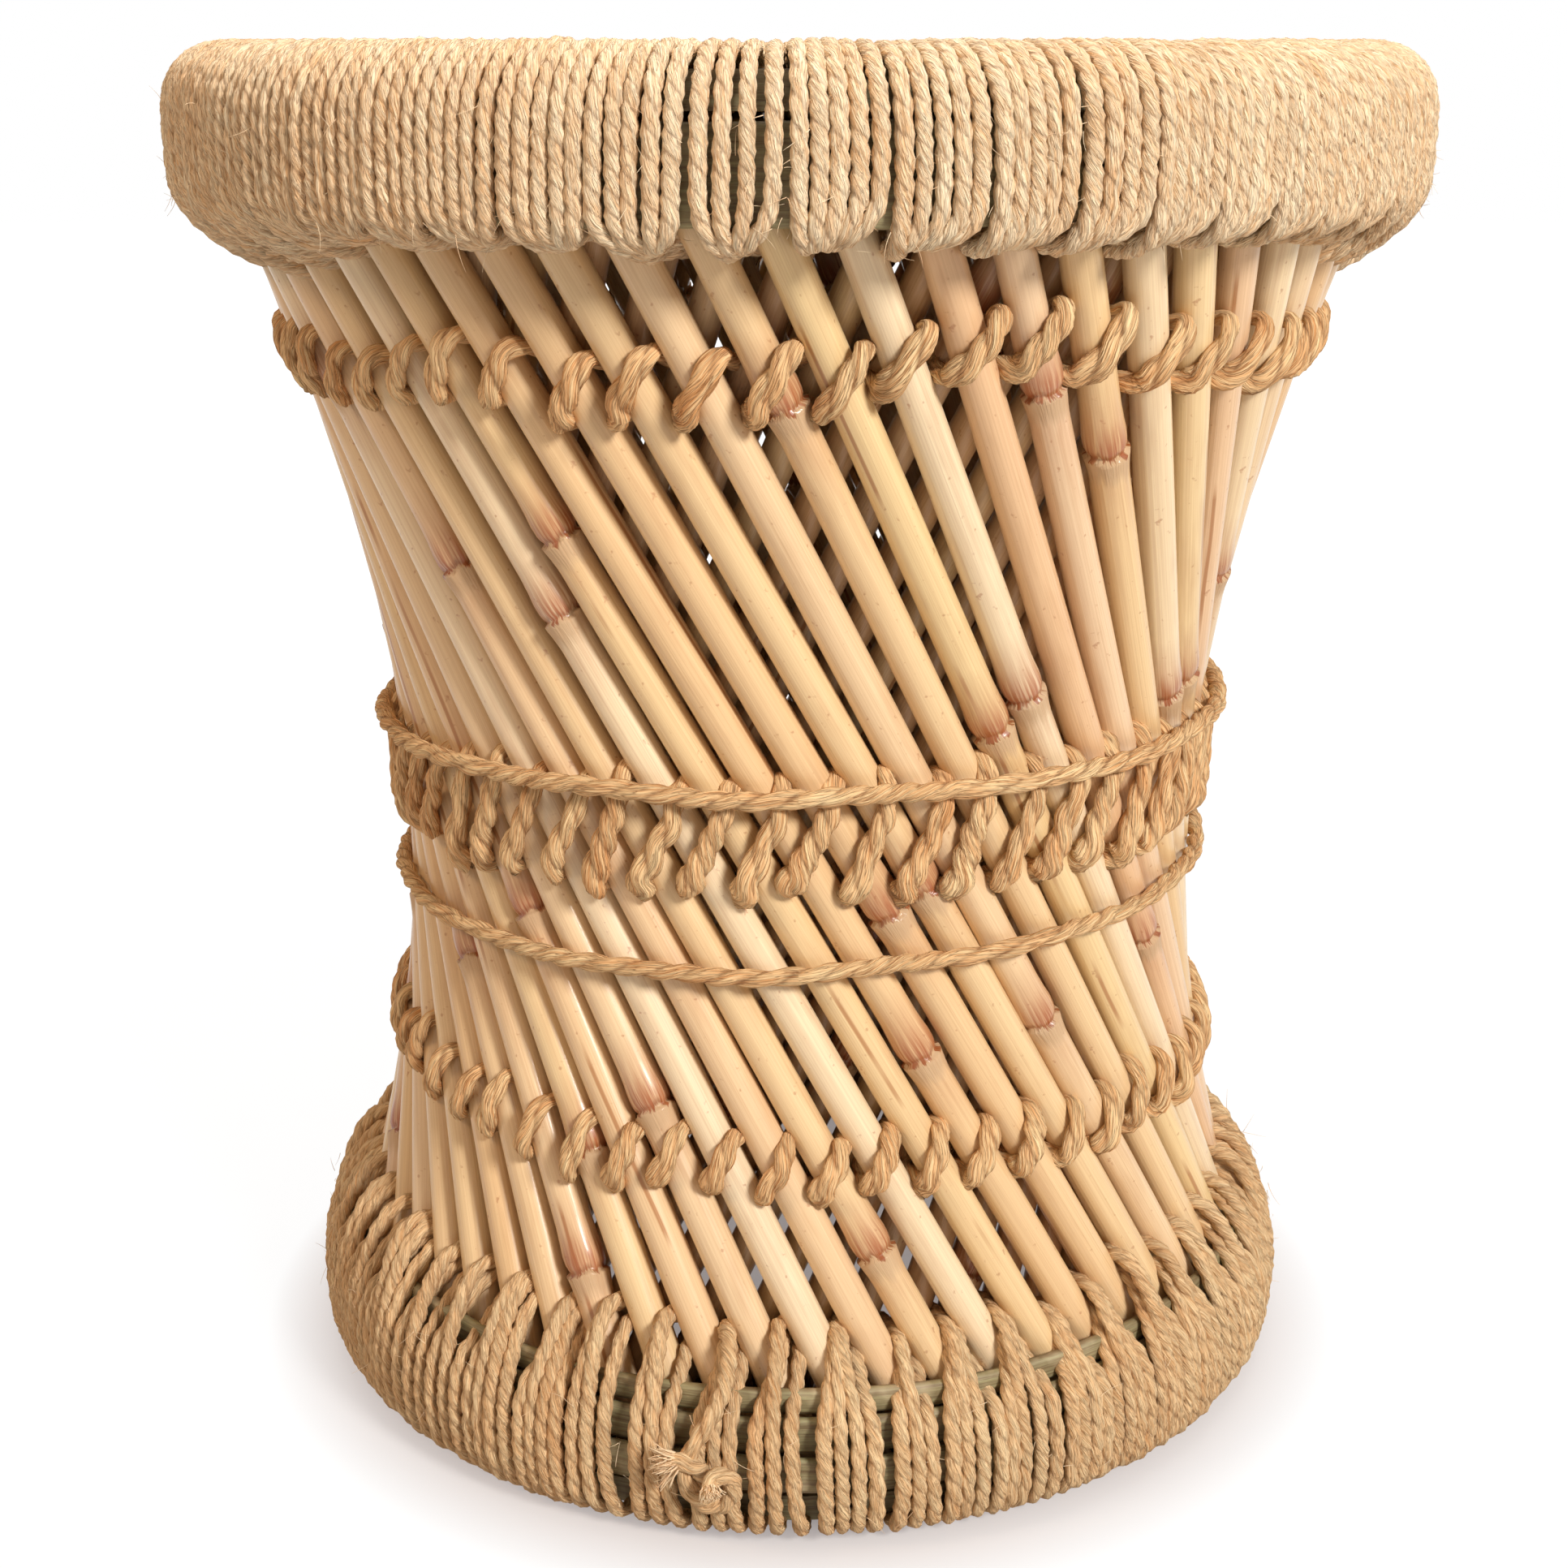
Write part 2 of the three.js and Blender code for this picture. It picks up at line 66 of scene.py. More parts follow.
# Lines of the canes, the same as in the frame: heights of their ends, and radii of the outer
# canes' middles at the head, the waist and the foot
HEAD_HEIGHT = 432 * MM
FOOT_HEIGHT = 20 * MM
HEAD_RADIUS = 187.8 * MM
WAIST_RADIUS = 132.1 * MM
FOOT_RADIUS = 162.4 * MM
# How much further in the inner canes lie, square to the outer layer
LAYER_STEP = 11.9 * MM
# At this level each inner cane passes midway between two outer ones
CROSSING_ROW = 216 * MM
CANES = 54
PER_GROUP = 3
PITCH = TURN / CANES
GROUP_PITCH = 0.975 * PITCH

# Seeds of the random draws of each piece or group
SEEDS = {
    "outer_canes": 11,
    "inner_canes": 12,
    "split_hoops": 13,
    "rim_rope": 21,
    "base_rope": 22,
    "upper_stitches": 31,
    "lower_stitches": 32,
    "waist_stitches": 33,
    "upper_waist_cord": 34,
    "lower_waist_cord": 35,
    "seat": 41,
    "base_knot": 51,
    "loose_fibres": 61,
}


def draws(name):
    """The random draws of a piece or group, the same in each run."""
    return np.random.default_rng(SEEDS[name])


# Sizes and colours


def length_property(name, description, default):
    return FloatProperty(
        name=name, description=description, default=default, min=0.0, unit="LENGTH", precision=4
    )


def colour_property(name, description, default):
    """A colour, given as it is seen on a screen and kept as light."""
    linear = [c / 12.92 if c <= 0.04045 else ((c + 0.055) / 1.055) ** 2.4 for c in default]
    return FloatVectorProperty(
        name=name, description=description, default=linear, min=0, max=1, subtype="COLOR"
    )


class StoolSizes(bpy.types.PropertyGroup):
    """Sizes of the stool's ropes, canes and strips."""

    outer_cane: length_property("Outer Cane", "Radius of the outer canes", 6.0 * MM)
    inner_cane: length_property("Inner Cane", "Radius of the inner canes", 5.5 * MM)
    collar: length_property("Collar", "How far the collar under a joint stands out", 1.1 * MM)
    rim_rope: length_property("Rim Rope", "Radius of the rope round the rim", 2.66 * MM)
    rim_lay: length_property("Rim Rope Lay", "Length of one full twist of the rim's rope", 11.5 * MM)
    base_rope: length_property("Base Rope", "Radius of the rope round the foot", 2.8 * MM)
    rope_lay: length_property("Rope Lay", "Length of one full twist of the other rope", 13.5 * MM)
    lashing: length_property("Lashing", "Radius of the twine of the plain lashings", 3.9 * MM)
    stitch: length_property("Waist Stitch", "Radius of the twine of the waist stitches", 4.4 * MM)
    upper_band: length_property("Upper Band", "Radius of the upper waist band", 3.2 * MM)
    lower_band: length_property("Lower Band", "Radius of the lower waist band", 3.0 * MM)
    twine_lay: length_property("Twine Lay", "Length of one full twist of the twine", 21 * MM)
    seat_rope: length_property("Seat Rope", "Radius of the rope of the seat", 3.1 * MM)
    strip: length_property("Strip", "Thickness of the split hoops", 3.2 * MM)
    fibre: length_property("Loose Fibre", "Length of a loose fibre", 8 * MM)


class StoolColours(bpy.types.PropertyGroup):
    """Colours of the stool's finishes."""

    cane_pale: colour_property("Cane Pale", "Palest canes", (0.960, 0.880, 0.740))
    cane_yellow: colour_property("Cane Yellow", "Yellow canes", (0.930, 0.820, 0.615))
    cane_pink: colour_property("Cane Pink", "Pinkish canes", (0.905, 0.745, 0.580))
    cane_stain: colour_property("Cane Stain", "Brown stains on the canes", (0.660, 0.430, 0.235))
    joint_red: colour_property("Joint Red", "Sheath above a joint", (0.640, 0.350, 0.190))
    joint_grey: colour_property("Joint Collar", "Torn collar of a joint", (0.810, 0.700, 0.560))
    strip_green: colour_property("Strip", "Skin of the split hoops", (0.640, 0.610, 0.450))
    strip_brown: colour_property("Strip Brown", "Fibres of the split hoops", (0.450, 0.370, 0.250))
    rope_light: colour_property("Rope Light", "Light fibres of the rope", (1.000, 0.925, 0.790))
    rope_dark: colour_property("Rope Dark", "Dark fibres of the rope", (0.900, 0.685, 0.460))
    base_light: colour_property("Base Rope Light", "Light fibres at the foot", (0.975, 0.860, 0.680))
    base_dark: colour_property("Base Rope Dark", "Dark fibres at the foot", (0.830, 0.605, 0.390))
    twine_light: colour_property("Twine Light", "Light fibres of the twine", (1.000, 0.880, 0.680))
    twine_dark: colour_property("Twine Dark", "Dark fibres of the twine", (0.840, 0.550, 0.300))
    # Painted shade laid into the rope's grooves and into the gaps between its fibres; also the colour
    # of the dark edge at a cane's joint
    shade: colour_property("Groove", "Bottom of the grooves in rope", (0.520, 0.290, 0.135))
    floor: colour_property("Floor", "Floor", (0.760, 0.750, 0.740))


def sizes():
    return bpy.context.scene.mudda_sizes


def colours():
    return bpy.context.scene.mudda_colours


# Lines and rings


def polar(radius, azimuth, height):
    """Points at a radius, azimuth and height: (r sin a, -r cos a, z)."""
    radius, azimuth, height = np.broadcast_arrays(radius, azimuth, height)
    return np.stack([radius * np.sin(azimuth), -radius * np.cos(azimuth), height], -1)


def unit(vectors):
    return vectors / np.maximum(np.linalg.norm(vectors, axis=-1, keepdims=True), 1e-12)


def smoothstep(x):
    x = np.clip(x, 0, 1)
    return x * x * (3 - 2 * x)


def slow_waves(azimuth, numbers, heights, rng):
    """A sum of sines that run `numbers` times round the axis, each with a random phase and a
    random height between the two `heights`, in millimetres."""
    return sum(
        rng.uniform(*heights) * MM * np.sin(number * azimuth + rng.uniform(0, TURN))
        for number in numbers
    )


class CaneLayer:
    """One layer of canes as straight lines. At height z a cane is s along its plan chord from the
    point nearest to the axis, so its radius is the hypotenuse of the waist radius and s, and it
    has turned by the arctangent of s over the waist radius."""

    def __init__(self, head, waist, foot, lean):
        self.waist = waist
        self.lean = lean
        self.head_reach = math.sqrt(head**2 - waist**2)
        foot_reach = math.sqrt(foot**2 - waist**2)
        self.slope = (self.head_reach + foot_reach) / (HEAD_HEIGHT - FOOT_HEIGHT)

    def reach(self, z):
        return self.head_reach - self.slope * (HEAD_HEIGHT - z)

    def radius(self, z):
        return np.hypot(self.waist, self.reach(z))

    def turn(self, z):
        return -self.lean * np.arctan(self.reach(z) / self.waist)

    def flare(self, z):
        return np.hypot(1, self.slope * self.reach(z) / self.radius(z))


OUTER = CaneLayer(HEAD_RADIUS, WAIST_RADIUS, FOOT_RADIUS, 1)
INNER = CaneLayer(
    HEAD_RADIUS - LAYER_STEP * OUTER.flare(HEAD_HEIGHT),
    WAIST_RADIUS - LAYER_STEP,
    FOOT_RADIUS - LAYER_STEP * OUTER.flare(FOOT_HEIGHT),
    -1,
)
INNER_SHIFT = OUTER.turn(CROSSING_ROW) - INNER.turn(CROSSING_ROW) + PITCH / 2


def cane_azimuths(shift):
    """Azimuths at which the canes of a layer pass the waist, in groups that stand a little closer."""
    number = np.arange(CANES)
    group, place = number // PER_GROUP, number % PER_GROUP - (PER_GROUP - 1) / 2
    return shift + group * PER_GROUP * PITCH + place * GROUP_PITCH


def catmull_rom(points, steps):
    """A closed smooth curve through points: on each stretch a cubic whose slope at a point is half
    of the step between its neighbours. Gives `steps` places for each point."""
    before, after, beyond = (np.roll(points, k, axis=0) for k in (1, -1, -2))
    t = (np.arange(steps) / steps)[None, :, None]
    p0, p1, p2, p3 = (p[:, None, :] for p in (before, points, after, beyond))
    curve = (
        2 * p1
        + (p2 - p0) * t
        + (2 * p0 - 5 * p1 + 4 * p2 - p3) * t**2
        + (3 * p1 - p0 - 3 * p2 + p3) * t**3
    ) / 2
    return curve.reshape(-1, points.shape[1])


def even_steps(curve, count, closed):
    """The curve again at `count` places an equal length apart."""
    line = np.concatenate([curve, curve[:1]]) if closed else curve
    length = np.concatenate([[0], np.cumsum(np.linalg.norm(np.diff(line[:, :3], axis=0), axis=1))])
    places = np.linspace(0, length[-1], count, endpoint=not closed)
    return np.stack([np.interp(places, length, column) for column in line.T], -1)


# Surfaces


# Points, quads, the UV of their corners, triangles, and the attributes' values at the points
Surface = namedtuple("Surface", ["points", "quads", "uv", "tris", "columns"])


def ring_quads(tubes, rings, sides, closed):
    """Quads between each ring and the next, by tube, ring and side."""
    spans = rings if closed else rings - 1
    t = np.arange(tubes)[:, None, None] * rings * sides
    k = np.arange(spans)[None, :, None]
    j = np.arange(sides)[None, None, :]
    here, there = t + k * sides, t + ((k + 1) % rings) * sides
    nextj = (j + 1) % sides
    corners = [here + j, here + nextj, there + nextj, there + j]
    return np.stack(np.broadcast_arrays(*corners), -1).reshape(-1, 4)


def ring_uv(centre, sides, closed, turned):
    """UV of those quads: the length along the path, and the share round it plus the share by
    which the strands have turned."""
    tubes, rings = centre.shape[:2]
    spans = rings if closed else rings - 1
    steps = np.linalg.norm(np.diff(centre, axis=1, append=centre[:, :1]), axis=-1)
    length = np.concatenate([np.zeros((tubes, 1)), np.cumsum(steps, axis=1)], 1)
    turned = np.zeros((tubes, rings + 1)) if turned is None else turned[None]
    j = np.arange(sides)[None, None, :]
    u0, u1 = length[:, :spans, None], length[:, 1 : spans + 1, None]
    v0, v1 = j / sides, (j + 1) / sides
    t0, t1 = turned[:, :spans, None], turned[:, 1 : spans + 1, None]
    pairs = [(u0, v0 + t0), (u0, v1 + t0), (u1, v1 + t1), (u1, v0 + t1)]
    corners = np.stack([np.stack(np.broadcast_arrays(u, v), -1) for u, v in pairs], -2)
    return corners.reshape(-1, 4, 2)


def end_caps(tubes, rings, sides):
    """Triangles that close the first and then the last ring of each tube on a hub. The hubs come
    after the points of all rings, those of the first rings before those of the last."""
    caps = []
    for end, ring in enumerate((0, rings - 1)):
        hub = tubes * (rings * sides + end) + np.arange(tubes)[:, None]
        rim = (np.arange(tubes)[:, None] * rings + ring) * sides
        here = rim + np.arange(sides)
        after = rim + (np.arange(sides) + 1) % sides
        hubs = np.broadcast_to(hub, here.shape)
        corners = [hubs, here, after] if end else [hubs, after, here]
        caps.append(np.stack(corners, -1).reshape(-1, 3))
    return np.concatenate(caps)


def tube(centre, outward, radii, angles, closed=False, turned=None, flat=1.0, **attributes):
    """A profile carried along a path. centre and outward are paths of K points, or T such paths
    at once. At each point the section lies in the plane across the path, its vertex j at
    radii[..., j] from the centre and at angles[..., j] from the outward side, on which it is
    pressed to the share `flat`. An open tube's ends close on their middles."""
    if centre.ndim == 2:
        centre, outward, radii, angles = (a[None] for a in (centre, outward, radii, angles))
    if closed:
        along = unit(np.roll(centre, -1, axis=1) - np.roll(centre, 1, axis=1))
    else:
        along = unit(np.gradient(centre, axis=1))
    normal = unit(outward - np.sum(outward * along, -1, keepdims=True) * along)
    across = np.cross(along, normal)
    points = centre[:, :, None] + radii[..., None] * (
        flat * np.cos(angles)[..., None] * normal[:, :, None]
        + np.sin(angles)[..., None] * across[:, :, None]
    )
    points = points.reshape(-1, 3)
    values = {name: np.broadcast_to(value, radii.shape) for name, value in attributes.items()}
    columns = {name: value.ravel() for name, value in values.items()}
    tris = np.zeros((0, 3), int)
    if not closed:
        tris = end_caps(*radii.shape)
        points = np.concatenate([points, centre[:, 0], centre[:, -1]])
        for name, value in values.items():
            hubs = [value[:, 0, 0], value[:, -1, 0]]
            columns[name] = np.concatenate([columns[name], *hubs])
    quads = ring_quads(*radii.shape, closed)
    uv = ring_uv(centre, radii.shape[-1], closed, turned)
    return Surface(points, quads, uv, tris, columns)


def make_piece(name, parts, material, nodes=()):
    """Joins surfaces into one mesh that rides on the stool and stands for CAD nodes."""
    points = np.concatenate([part.points for part in parts])
    starts = np.cumsum([0] + [len(part.points) for part in parts])
    quads = np.concatenate([part.quads + start for part, start in zip(parts, starts)])
    tris = np.concatenate([part.tris + start for part, start in zip(parts, starts)])
    uv = np.concatenate([part.uv.reshape(-1, 2) for part in parts] + [np.zeros((tris.size, 2))])
    corners = np.concatenate([quads.ravel(), tris.ravel()])
    firsts = np.concatenate([np.arange(len(quads)) * 4, quads.size + np.arange(len(tris)) * 3])
    mesh = bpy.data.meshes.new(name)
    mesh.vertices.add(len(points))
    mesh.vertices.foreach_set("co", points.astype(np.float32).ravel())
    mesh.loops.add(len(corners))
    mesh.loops.foreach_set("vertex_index", corners.astype(np.int32))
    mesh.polygons.add(len(firsts))
    mesh.polygons.foreach_set("loop_start", firsts.astype(np.int32))
    mesh.update(calc_edges=True)
    layer = mesh.uv_layers.new(name="Along")
    layer.data.foreach_set("uv", uv.astype(np.float32).ravel())
    for key in parts[0].columns:
        column = mesh.attributes.new(key, "FLOAT", "POINT")
        values = np.concatenate([part.columns[key] for part in parts])
        column.data.foreach_set("value", values.astype(np.float32))
    mesh.shade_smooth()
    mesh.materials.append(material)
    piece = bpy.data.objects.new(name, mesh)
    bpy.context.scene.collection.objects.link(piece)
    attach(piece, "root")
    if nodes:
        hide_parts(*nodes)
    return piece


def two_ply(radius, angle, depth):
    """Outline of two strands laid together: seen from the rope's middle, each strand of radius a
    has its centre at depth times a, so the outline at angle p is d |cos p| plus the root of
    a squared less d squared times sin p squared."""
    strand = radius / (1 + depth)
    reach = depth * strand
    return reach * np.abs(np.cos(angle)) + np.sqrt(strand**2 - (reach * np.sin(angle)) ** 2)


# Lengths of the waves that make a rope's lay uneven, and how far each turns the strands, in
# radians
LAY_WAVES = [62 * MM, 101 * MM, 233 * MM]
LAY_SWING = 0.8


def laid_rope(
    path, outward, radius, lay, sides, depth=0.4, swell=1.0, phase=0.0, closed=False, flat=1.0,
    **attributes
):
    """Two-ply rope along a path. Its outline is that of the two strands, which turn against the
    path's direction once in each lay: the vertices stay at even angles from the outward side,
    and each lies on the outline as it is turned there. Slow waves make the lay uneven. On a
    closed path the lay is adjusted so that a whole number of twists and waves fits."""
    steps = np.linalg.norm(np.diff(path, axis=0, append=path[:1] if closed else path[-1:]), axis=1)
    length = np.concatenate([[0], np.cumsum(steps)])
    if closed:
        lay = length[-1] / round(length[-1] / lay)
    total = length[-1]
    uneven = sum(
        LAY_SWING * np.sin(TURN * length * max(1, round(total / wave)) / total + 1.7 * k)
        for k, wave in enumerate(LAY_WAVES)
    )
    twist = phase - TURN * length / lay + uneven
    angle = np.broadcast_to(TURN * np.arange(sides) / sides, (len(path), sides))
    outline = two_ply(radius, angle - twist[:-1, None], depth)
    radii = np.broadcast_to(swell, len(path))[:, None] * outline
    turned = -twist / TURN
    return tube(path, outward, radii, angle, closed=closed, turned=turned, flat=flat, **attributes)


# Node trees


class Tree:
    """Adds nodes to a node tree and joins them. A value given for a socket is another node's
    output to link to it, or a number or the three numbers of a colour to set on it."""

    def __init__(self, tree):
        self.tree = tree

    def put(self, socket, value):
        if isinstance(value, bpy.types.NodeSocket):
            self.tree.links.new(value, socket)
        else:
            socket.default_value = (*value, 1) if socket.type == "RGBA" else value

    def node(self, kind, inputs=None, **settings):
        node = self.tree.nodes.new(kind)
        for key, value in settings.items():
            setattr(node, key, value)
        for key, value in (inputs or {}).items():
            self.put(node.inputs[key], value)
        return node

    def math(self, operation, *values, clamp=False):
        inputs = dict(enumerate(values))
        return self.node("ShaderNodeMath", inputs, operation=operation, use_clamp=clamp).outputs[0]

    def plus(self, a, b):
        return self.math("ADD", a, b)

    def minus(self, a, b):
        return self.math("SUBTRACT", a, b)

    def times(self, a, b):
        return self.math("MULTIPLY", a, b)

    def over(self, a, b):
        return self.math("DIVIDE", a, b)

    def largest(self, first, *others):
        for value in others:
            first = self.math("MAXIMUM", first, value)
        return first

    def weighted(self, first, *others):
        """The sum, held between 0 and 1, of (value, weight) pairs."""
        total = self.times(*first)
        for pair in others:
            total = self.math("ADD", total, self.times(*pair), clamp=True)
        return total

    def mix(self, factor, a, b):
        return self.node("ShaderNodeMix", {0: factor, 6: a, 7: b}, data_type="RGBA").outputs[2]

    def covered(self, colour, amounts):
        """A colour that other colours cover in turn, each by its (mask, strength)."""
        for mask, strength, over in amounts:
            colour = self.mix(self.times(mask, strength), colour, over)
        return colour

    def vector(self, x, y, z):
        return self.node("ShaderNodeCombineXYZ", {0: x, 1: y, 2: z}).outputs[0]

    def stretched(self, parts, factors):
        """A vector whose parts are each taken times its factor."""
        return self.vector(*(self.times(part, factor) for part, factor in zip(parts, factors)))

    def noise(self, vector, scale=1.0, detail=2.0, roughness=0.5):
        inputs = {"Vector": vector, "Scale": scale, "Detail": detail, "Roughness": roughness}
        return self.node("ShaderNodeTexNoise", inputs).outputs[0]

    def remap(self, value, low, high, to_low=0.0, to_high=1.0):
        inputs = {0: value, 1: low, 2: high, 3: to_low, 4: to_high}
        return self.node("ShaderNodeMapRange", inputs, clamp=True).outputs[0]

    def ramp(self, factor, stops):
        """A grey that follows (place, value) stops."""
        node = self.node("ShaderNodeValToRGB", {0: factor})
        band = node.color_ramp
        while len(band.elements) < len(stops):
            band.elements.new(0.5)
        for element, (place, value) in zip(band.elements, stops):
            element.position = place
            element.color = (value, value, value, 1)
        return node.outputs[0]

    def attribute(self, name):
        return self.node("ShaderNodeAttribute", attribute_name=name).outputs["Fac"]

    def object_place(self):
        return self.node("ShaderNodeTexCoord").outputs["Object"]

    def round_coordinates(self):
        """The piece's UV as a length and as the cosine and sine of the angle round it."""
        uv = self.node("ShaderNodeUVMap", uv_map="Along").outputs[0]
        split = self.node("ShaderNodeSeparateXYZ", {0: uv})
        angle = self.times(split.outputs[1], TURN)
        return split.outputs[0], self.math("COSINE", angle), self.math("SINE", angle)


def new_group(name, inputs, outputs):
    """An empty shader group with float inputs (name, default) and float outputs."""
    group = bpy.data.node_groups.new(name, "ShaderNodeTree")
    for label, default in inputs:
        socket = group.interface.new_socket(label, in_out="INPUT", socket_type="NodeSocketFloat")
        socket.default_value = default
    for label in outputs:
        group.interface.new_socket(label, in_out="OUTPUT", socket_type="NodeSocketFloat")
    tree = Tree(group)
    return tree, tree.node("NodeGroupInput").outputs, tree.node("NodeGroupOutput").inputs


def ply_fibre_group():
    """Fibres of a laid rope, the thin gaps between them, the groove between its strands, and slow
    patches of tone. Fibres lie between the direction of the strands and that of the rope: the
    angle round the rope is first turned by the length times Untwist. Their noise is then read at
    the cosine and sine of that angle times the fibres across, and at the length over the length
    of a fibre. Gaps are where a middling noise passes through one half. Gap and Groove are masks
    of painted shade. The groove is deepest where the cosine of the strands' own angle is zero, and
    blotches of noise break it up."""
    if "Ply Fibre" in bpy.data.node_groups:
        return bpy.data.node_groups["Ply Fibre"]
    tree, given, out = new_group(
        "Ply Fibre",
        [("Fibres Across", 4.0), ("Fibre Length", 0.009), ("Patch Length", 0.03), ("Untwist", 20.0)],
        ["Fibre", "Fine", "Gap", "Groove", "Patch", "Height"],
    )
    u, cosine, sine = tree.round_coordinates()
    back = tree.times(tree.times(u, TURN), given["Untwist"])
    angle = tree.minus(tree.math("ARCTAN2", sine, cosine), back)
    x = tree.times(tree.math("COSINE", angle), given["Fibres Across"])
    y = tree.times(tree.math("SINE", angle), given["Fibres Across"])
    along = tree.over(u, given["Fibre Length"])
    coarse = tree.noise(tree.vector(x, y, along), 1.0, 2.0, 0.55)
    fine = tree.noise(tree.vector(x, y, along), 2.6, 2.0, 0.6)
    middling = tree.noise(tree.vector(y, x, along), 1.7, 1.0, 0.5)
    # Mask of the painted shade in the thin gaps between the fibres
    from_half = tree.math("ABSOLUTE", tree.minus(middling, 0.5))
    gap = tree.minus(1.0, tree.remap(from_half, 0.0, 0.05))
    place = tree.object_place()
    broad = tree.noise(place, 16.0, 2.0, 0.5)
    patch_length = tree.over(u, given["Patch Length"])
    patch = tree.noise(tree.vector(cosine, sine, patch_length), 1.0, 2.0, 0.5)
    crest = tree.math("ABSOLUTE", cosine)
    # Mask of the painted shade in the groove between the strands, broken up by blotches of noise
    groove = tree.minus(1.0, tree.remap(crest, 0.0, 0.5))
    blotches = tree.remap(tree.noise(place, 190.0, 1.0, 0.5), 0.38, 0.60, 0.12, 1.0)
    tree.put(out["Fibre"], tree.remap(coarse, 0.36, 0.64))
    tree.put(out["Fine"], tree.remap(fine, 0.34, 0.66))
    tree.put(out["Gap"], gap)
    tree.put(out["Groove"], tree.times(groove, blotches))
    tree.put(out["Patch"], tree.remap(tree.plus(patch, broad), 0.75, 1.25))
    height = tree.plus(coarse, tree.times(fine, 0.7))
    height = tree.minus(height, tree.times(gap, 0.35))
    tree.put(out["Height"], tree.plus(height, tree.remap(crest, 0.0, 0.5, 0.0, 0.45)))
    return tree.tree


def cane_grain_group():
    """Fine lines along a culm, small dark specks and broad stains. Each is a noise on the cosine
    and sine of the angle and on the length, which is stretched most for the lines. The seed moves
    the noise along, so that no two culms are alike."""
    if "Cane Grain" in bpy.data.node_groups:
        return bpy.data.node_groups["Cane Grain"]
    tree, given, out = new_group(
        "Cane Grain",
        [("Lines Across", 10.0), ("Line Length", 0.09), ("Seed", 0.0)],
        ["Lines", "Specks", "Stain", "Height"],
    )
    u, cosine, sine = tree.round_coordinates()
    seed = tree.times(given["Seed"], 37.0)
    x = tree.times(cosine, given["Lines Across"])
    y = tree.times(sine, given["Lines Across"])
    z = tree.plus(tree.over(u, given["Line Length"]), seed)
    lines = tree.noise(tree.vector(x, y, z), 1.0, 3.0, 0.65)
    speck_place = tree.vector(cosine, sine, tree.plus(tree.times(u, 160.0), seed))
    specks = tree.noise(speck_place, 2.2, 2.0, 0.55)
    stain_place = tree.vector(cosine, sine, tree.plus(tree.times(u, 26.0), seed))
    stain = tree.noise(stain_place, 0.8, 3.0, 0.6)
    tree.put(out["Lines"], tree.remap(lines, 0.3, 0.7))
    tree.put(out["Specks"], tree.remap(specks, 0.68, 0.76))
    tree.put(out["Stain"], tree.remap(stain, 0.52, 0.78))
    tree.put(out["Height"], lines)
    return tree.tree


# Materials

# Each rope's light and dark colour, fibres across it, length of a fibre, turns in a metre by
# which the fibres lie off the strands, and strength of the painted shade in its grooves and in
# its gaps
ROPE_FINISHES = {
    "rim_cord": ("rope_light", "rope_dark", 2.3, 10 * MM, 62, 0.36, 0.24),
    "base_cord": ("base_light", "base_dark", 2.5, 11 * MM, 49, 0.36, 0.28),
    "lashing_twine": ("twine_light", "twine_dark", 3.2, 18 * MM, 36, 0.55, 0.60),
    "seat_cord": ("base_light", "base_dark", 2.2, 10 * MM, 49, 0.38, 0.28),
}
# Colour round a joint as (millimetres above it, share): the reddish sheath above, the torn grey
# collar below, and the dark edge between them
JOINT_REACH = 30
SHEATH_STOPS = [(-30, 0), (-10.2, 0.25), (0, 0.12), (0.9, 1), (6, 0.85), (14.4, 0.35), (27, 0)]
COLLAR_STOPS = [(-30, 0), (-9, 0), (-4.8, 0.85), (-0.3, 1), (0.3, 0), (30, 0)]
EDGE_STOPS = [(-0.24, 0), (0.48, 1), (1.2, 0.9), (2.7, 0)]


def new_material(name, colour):
    """A material with that colour in the viewport, its tree and its shader's inputs."""
    material = bpy.data.materials.new(name)
    material.use_nodes = True
    material.diffuse_color = (*colour, 1)
    tree = Tree(material.node_tree)
    return material, tree, material.node_tree.nodes["Principled BSDF"].inputs


def bump(tree, height, distance, strength):
    inputs = {"Height": height, "Distance": distance, "Strength": strength}
    return tree.node("ShaderNodeBump", inputs).outputs[0]


def rope_material(name):
    """Dry, hairy plant fibre: light and dark fibres along the strands, with painted shade in the
    grooves between the strands and in the gaps between the fibres.
    """
    light, dark, across, fibre_length, untwist, groove_shading, gap_shading = ROPE_FINISHES[name]
    c = colours()
    material, tree, shader = new_material(name, getattr(c, light))
    out = tree.node(
        "ShaderNodeGroup",
        {"Fibres Across": across, "Fibre Length": fibre_length, "Untwist": untwist},
        node_tree=ply_fibre_group(),
    ).outputs
    tone = tree.weighted(
        (out["Fibre"], 0.48), (out["Fine"], 0.30), (out["Patch"], 0.16), (tree.attribute("tone"), 0.26)
    )
    body = tree.mix(tone, getattr(c, dark), getattr(c, light))
    # Painted shade: the gaps between fibres and the groove between the strands are darkened towards
    # the shade colour
    shades = [(out["Gap"], gap_shading, c.shade), (out["Groove"], groove_shading, c.shade)]
    tree.put(shader["Base Color"], tree.covered(body, shades))
    shader["Roughness"].default_value = 0.75
    shader["Specular IOR Level"].default_value = 0.14
    tree.put(shader["Normal"], bump(tree, out["Height"], 1.4 * MM, 0.8))
    return material


def fibre_material(name):
    """Single fibres: nothing but a tone of their own."""
    c = colours()
    material, tree, shader = new_material(name, c.rope_light)
    tree.put(shader["Base Color"], tree.mix(tree.attribute("tone"), c.base_dark, c.rope_light))
    shader["Roughness"].default_value = 0.6
    shader["Specular IOR Level"].default_value = 0.2
    return material


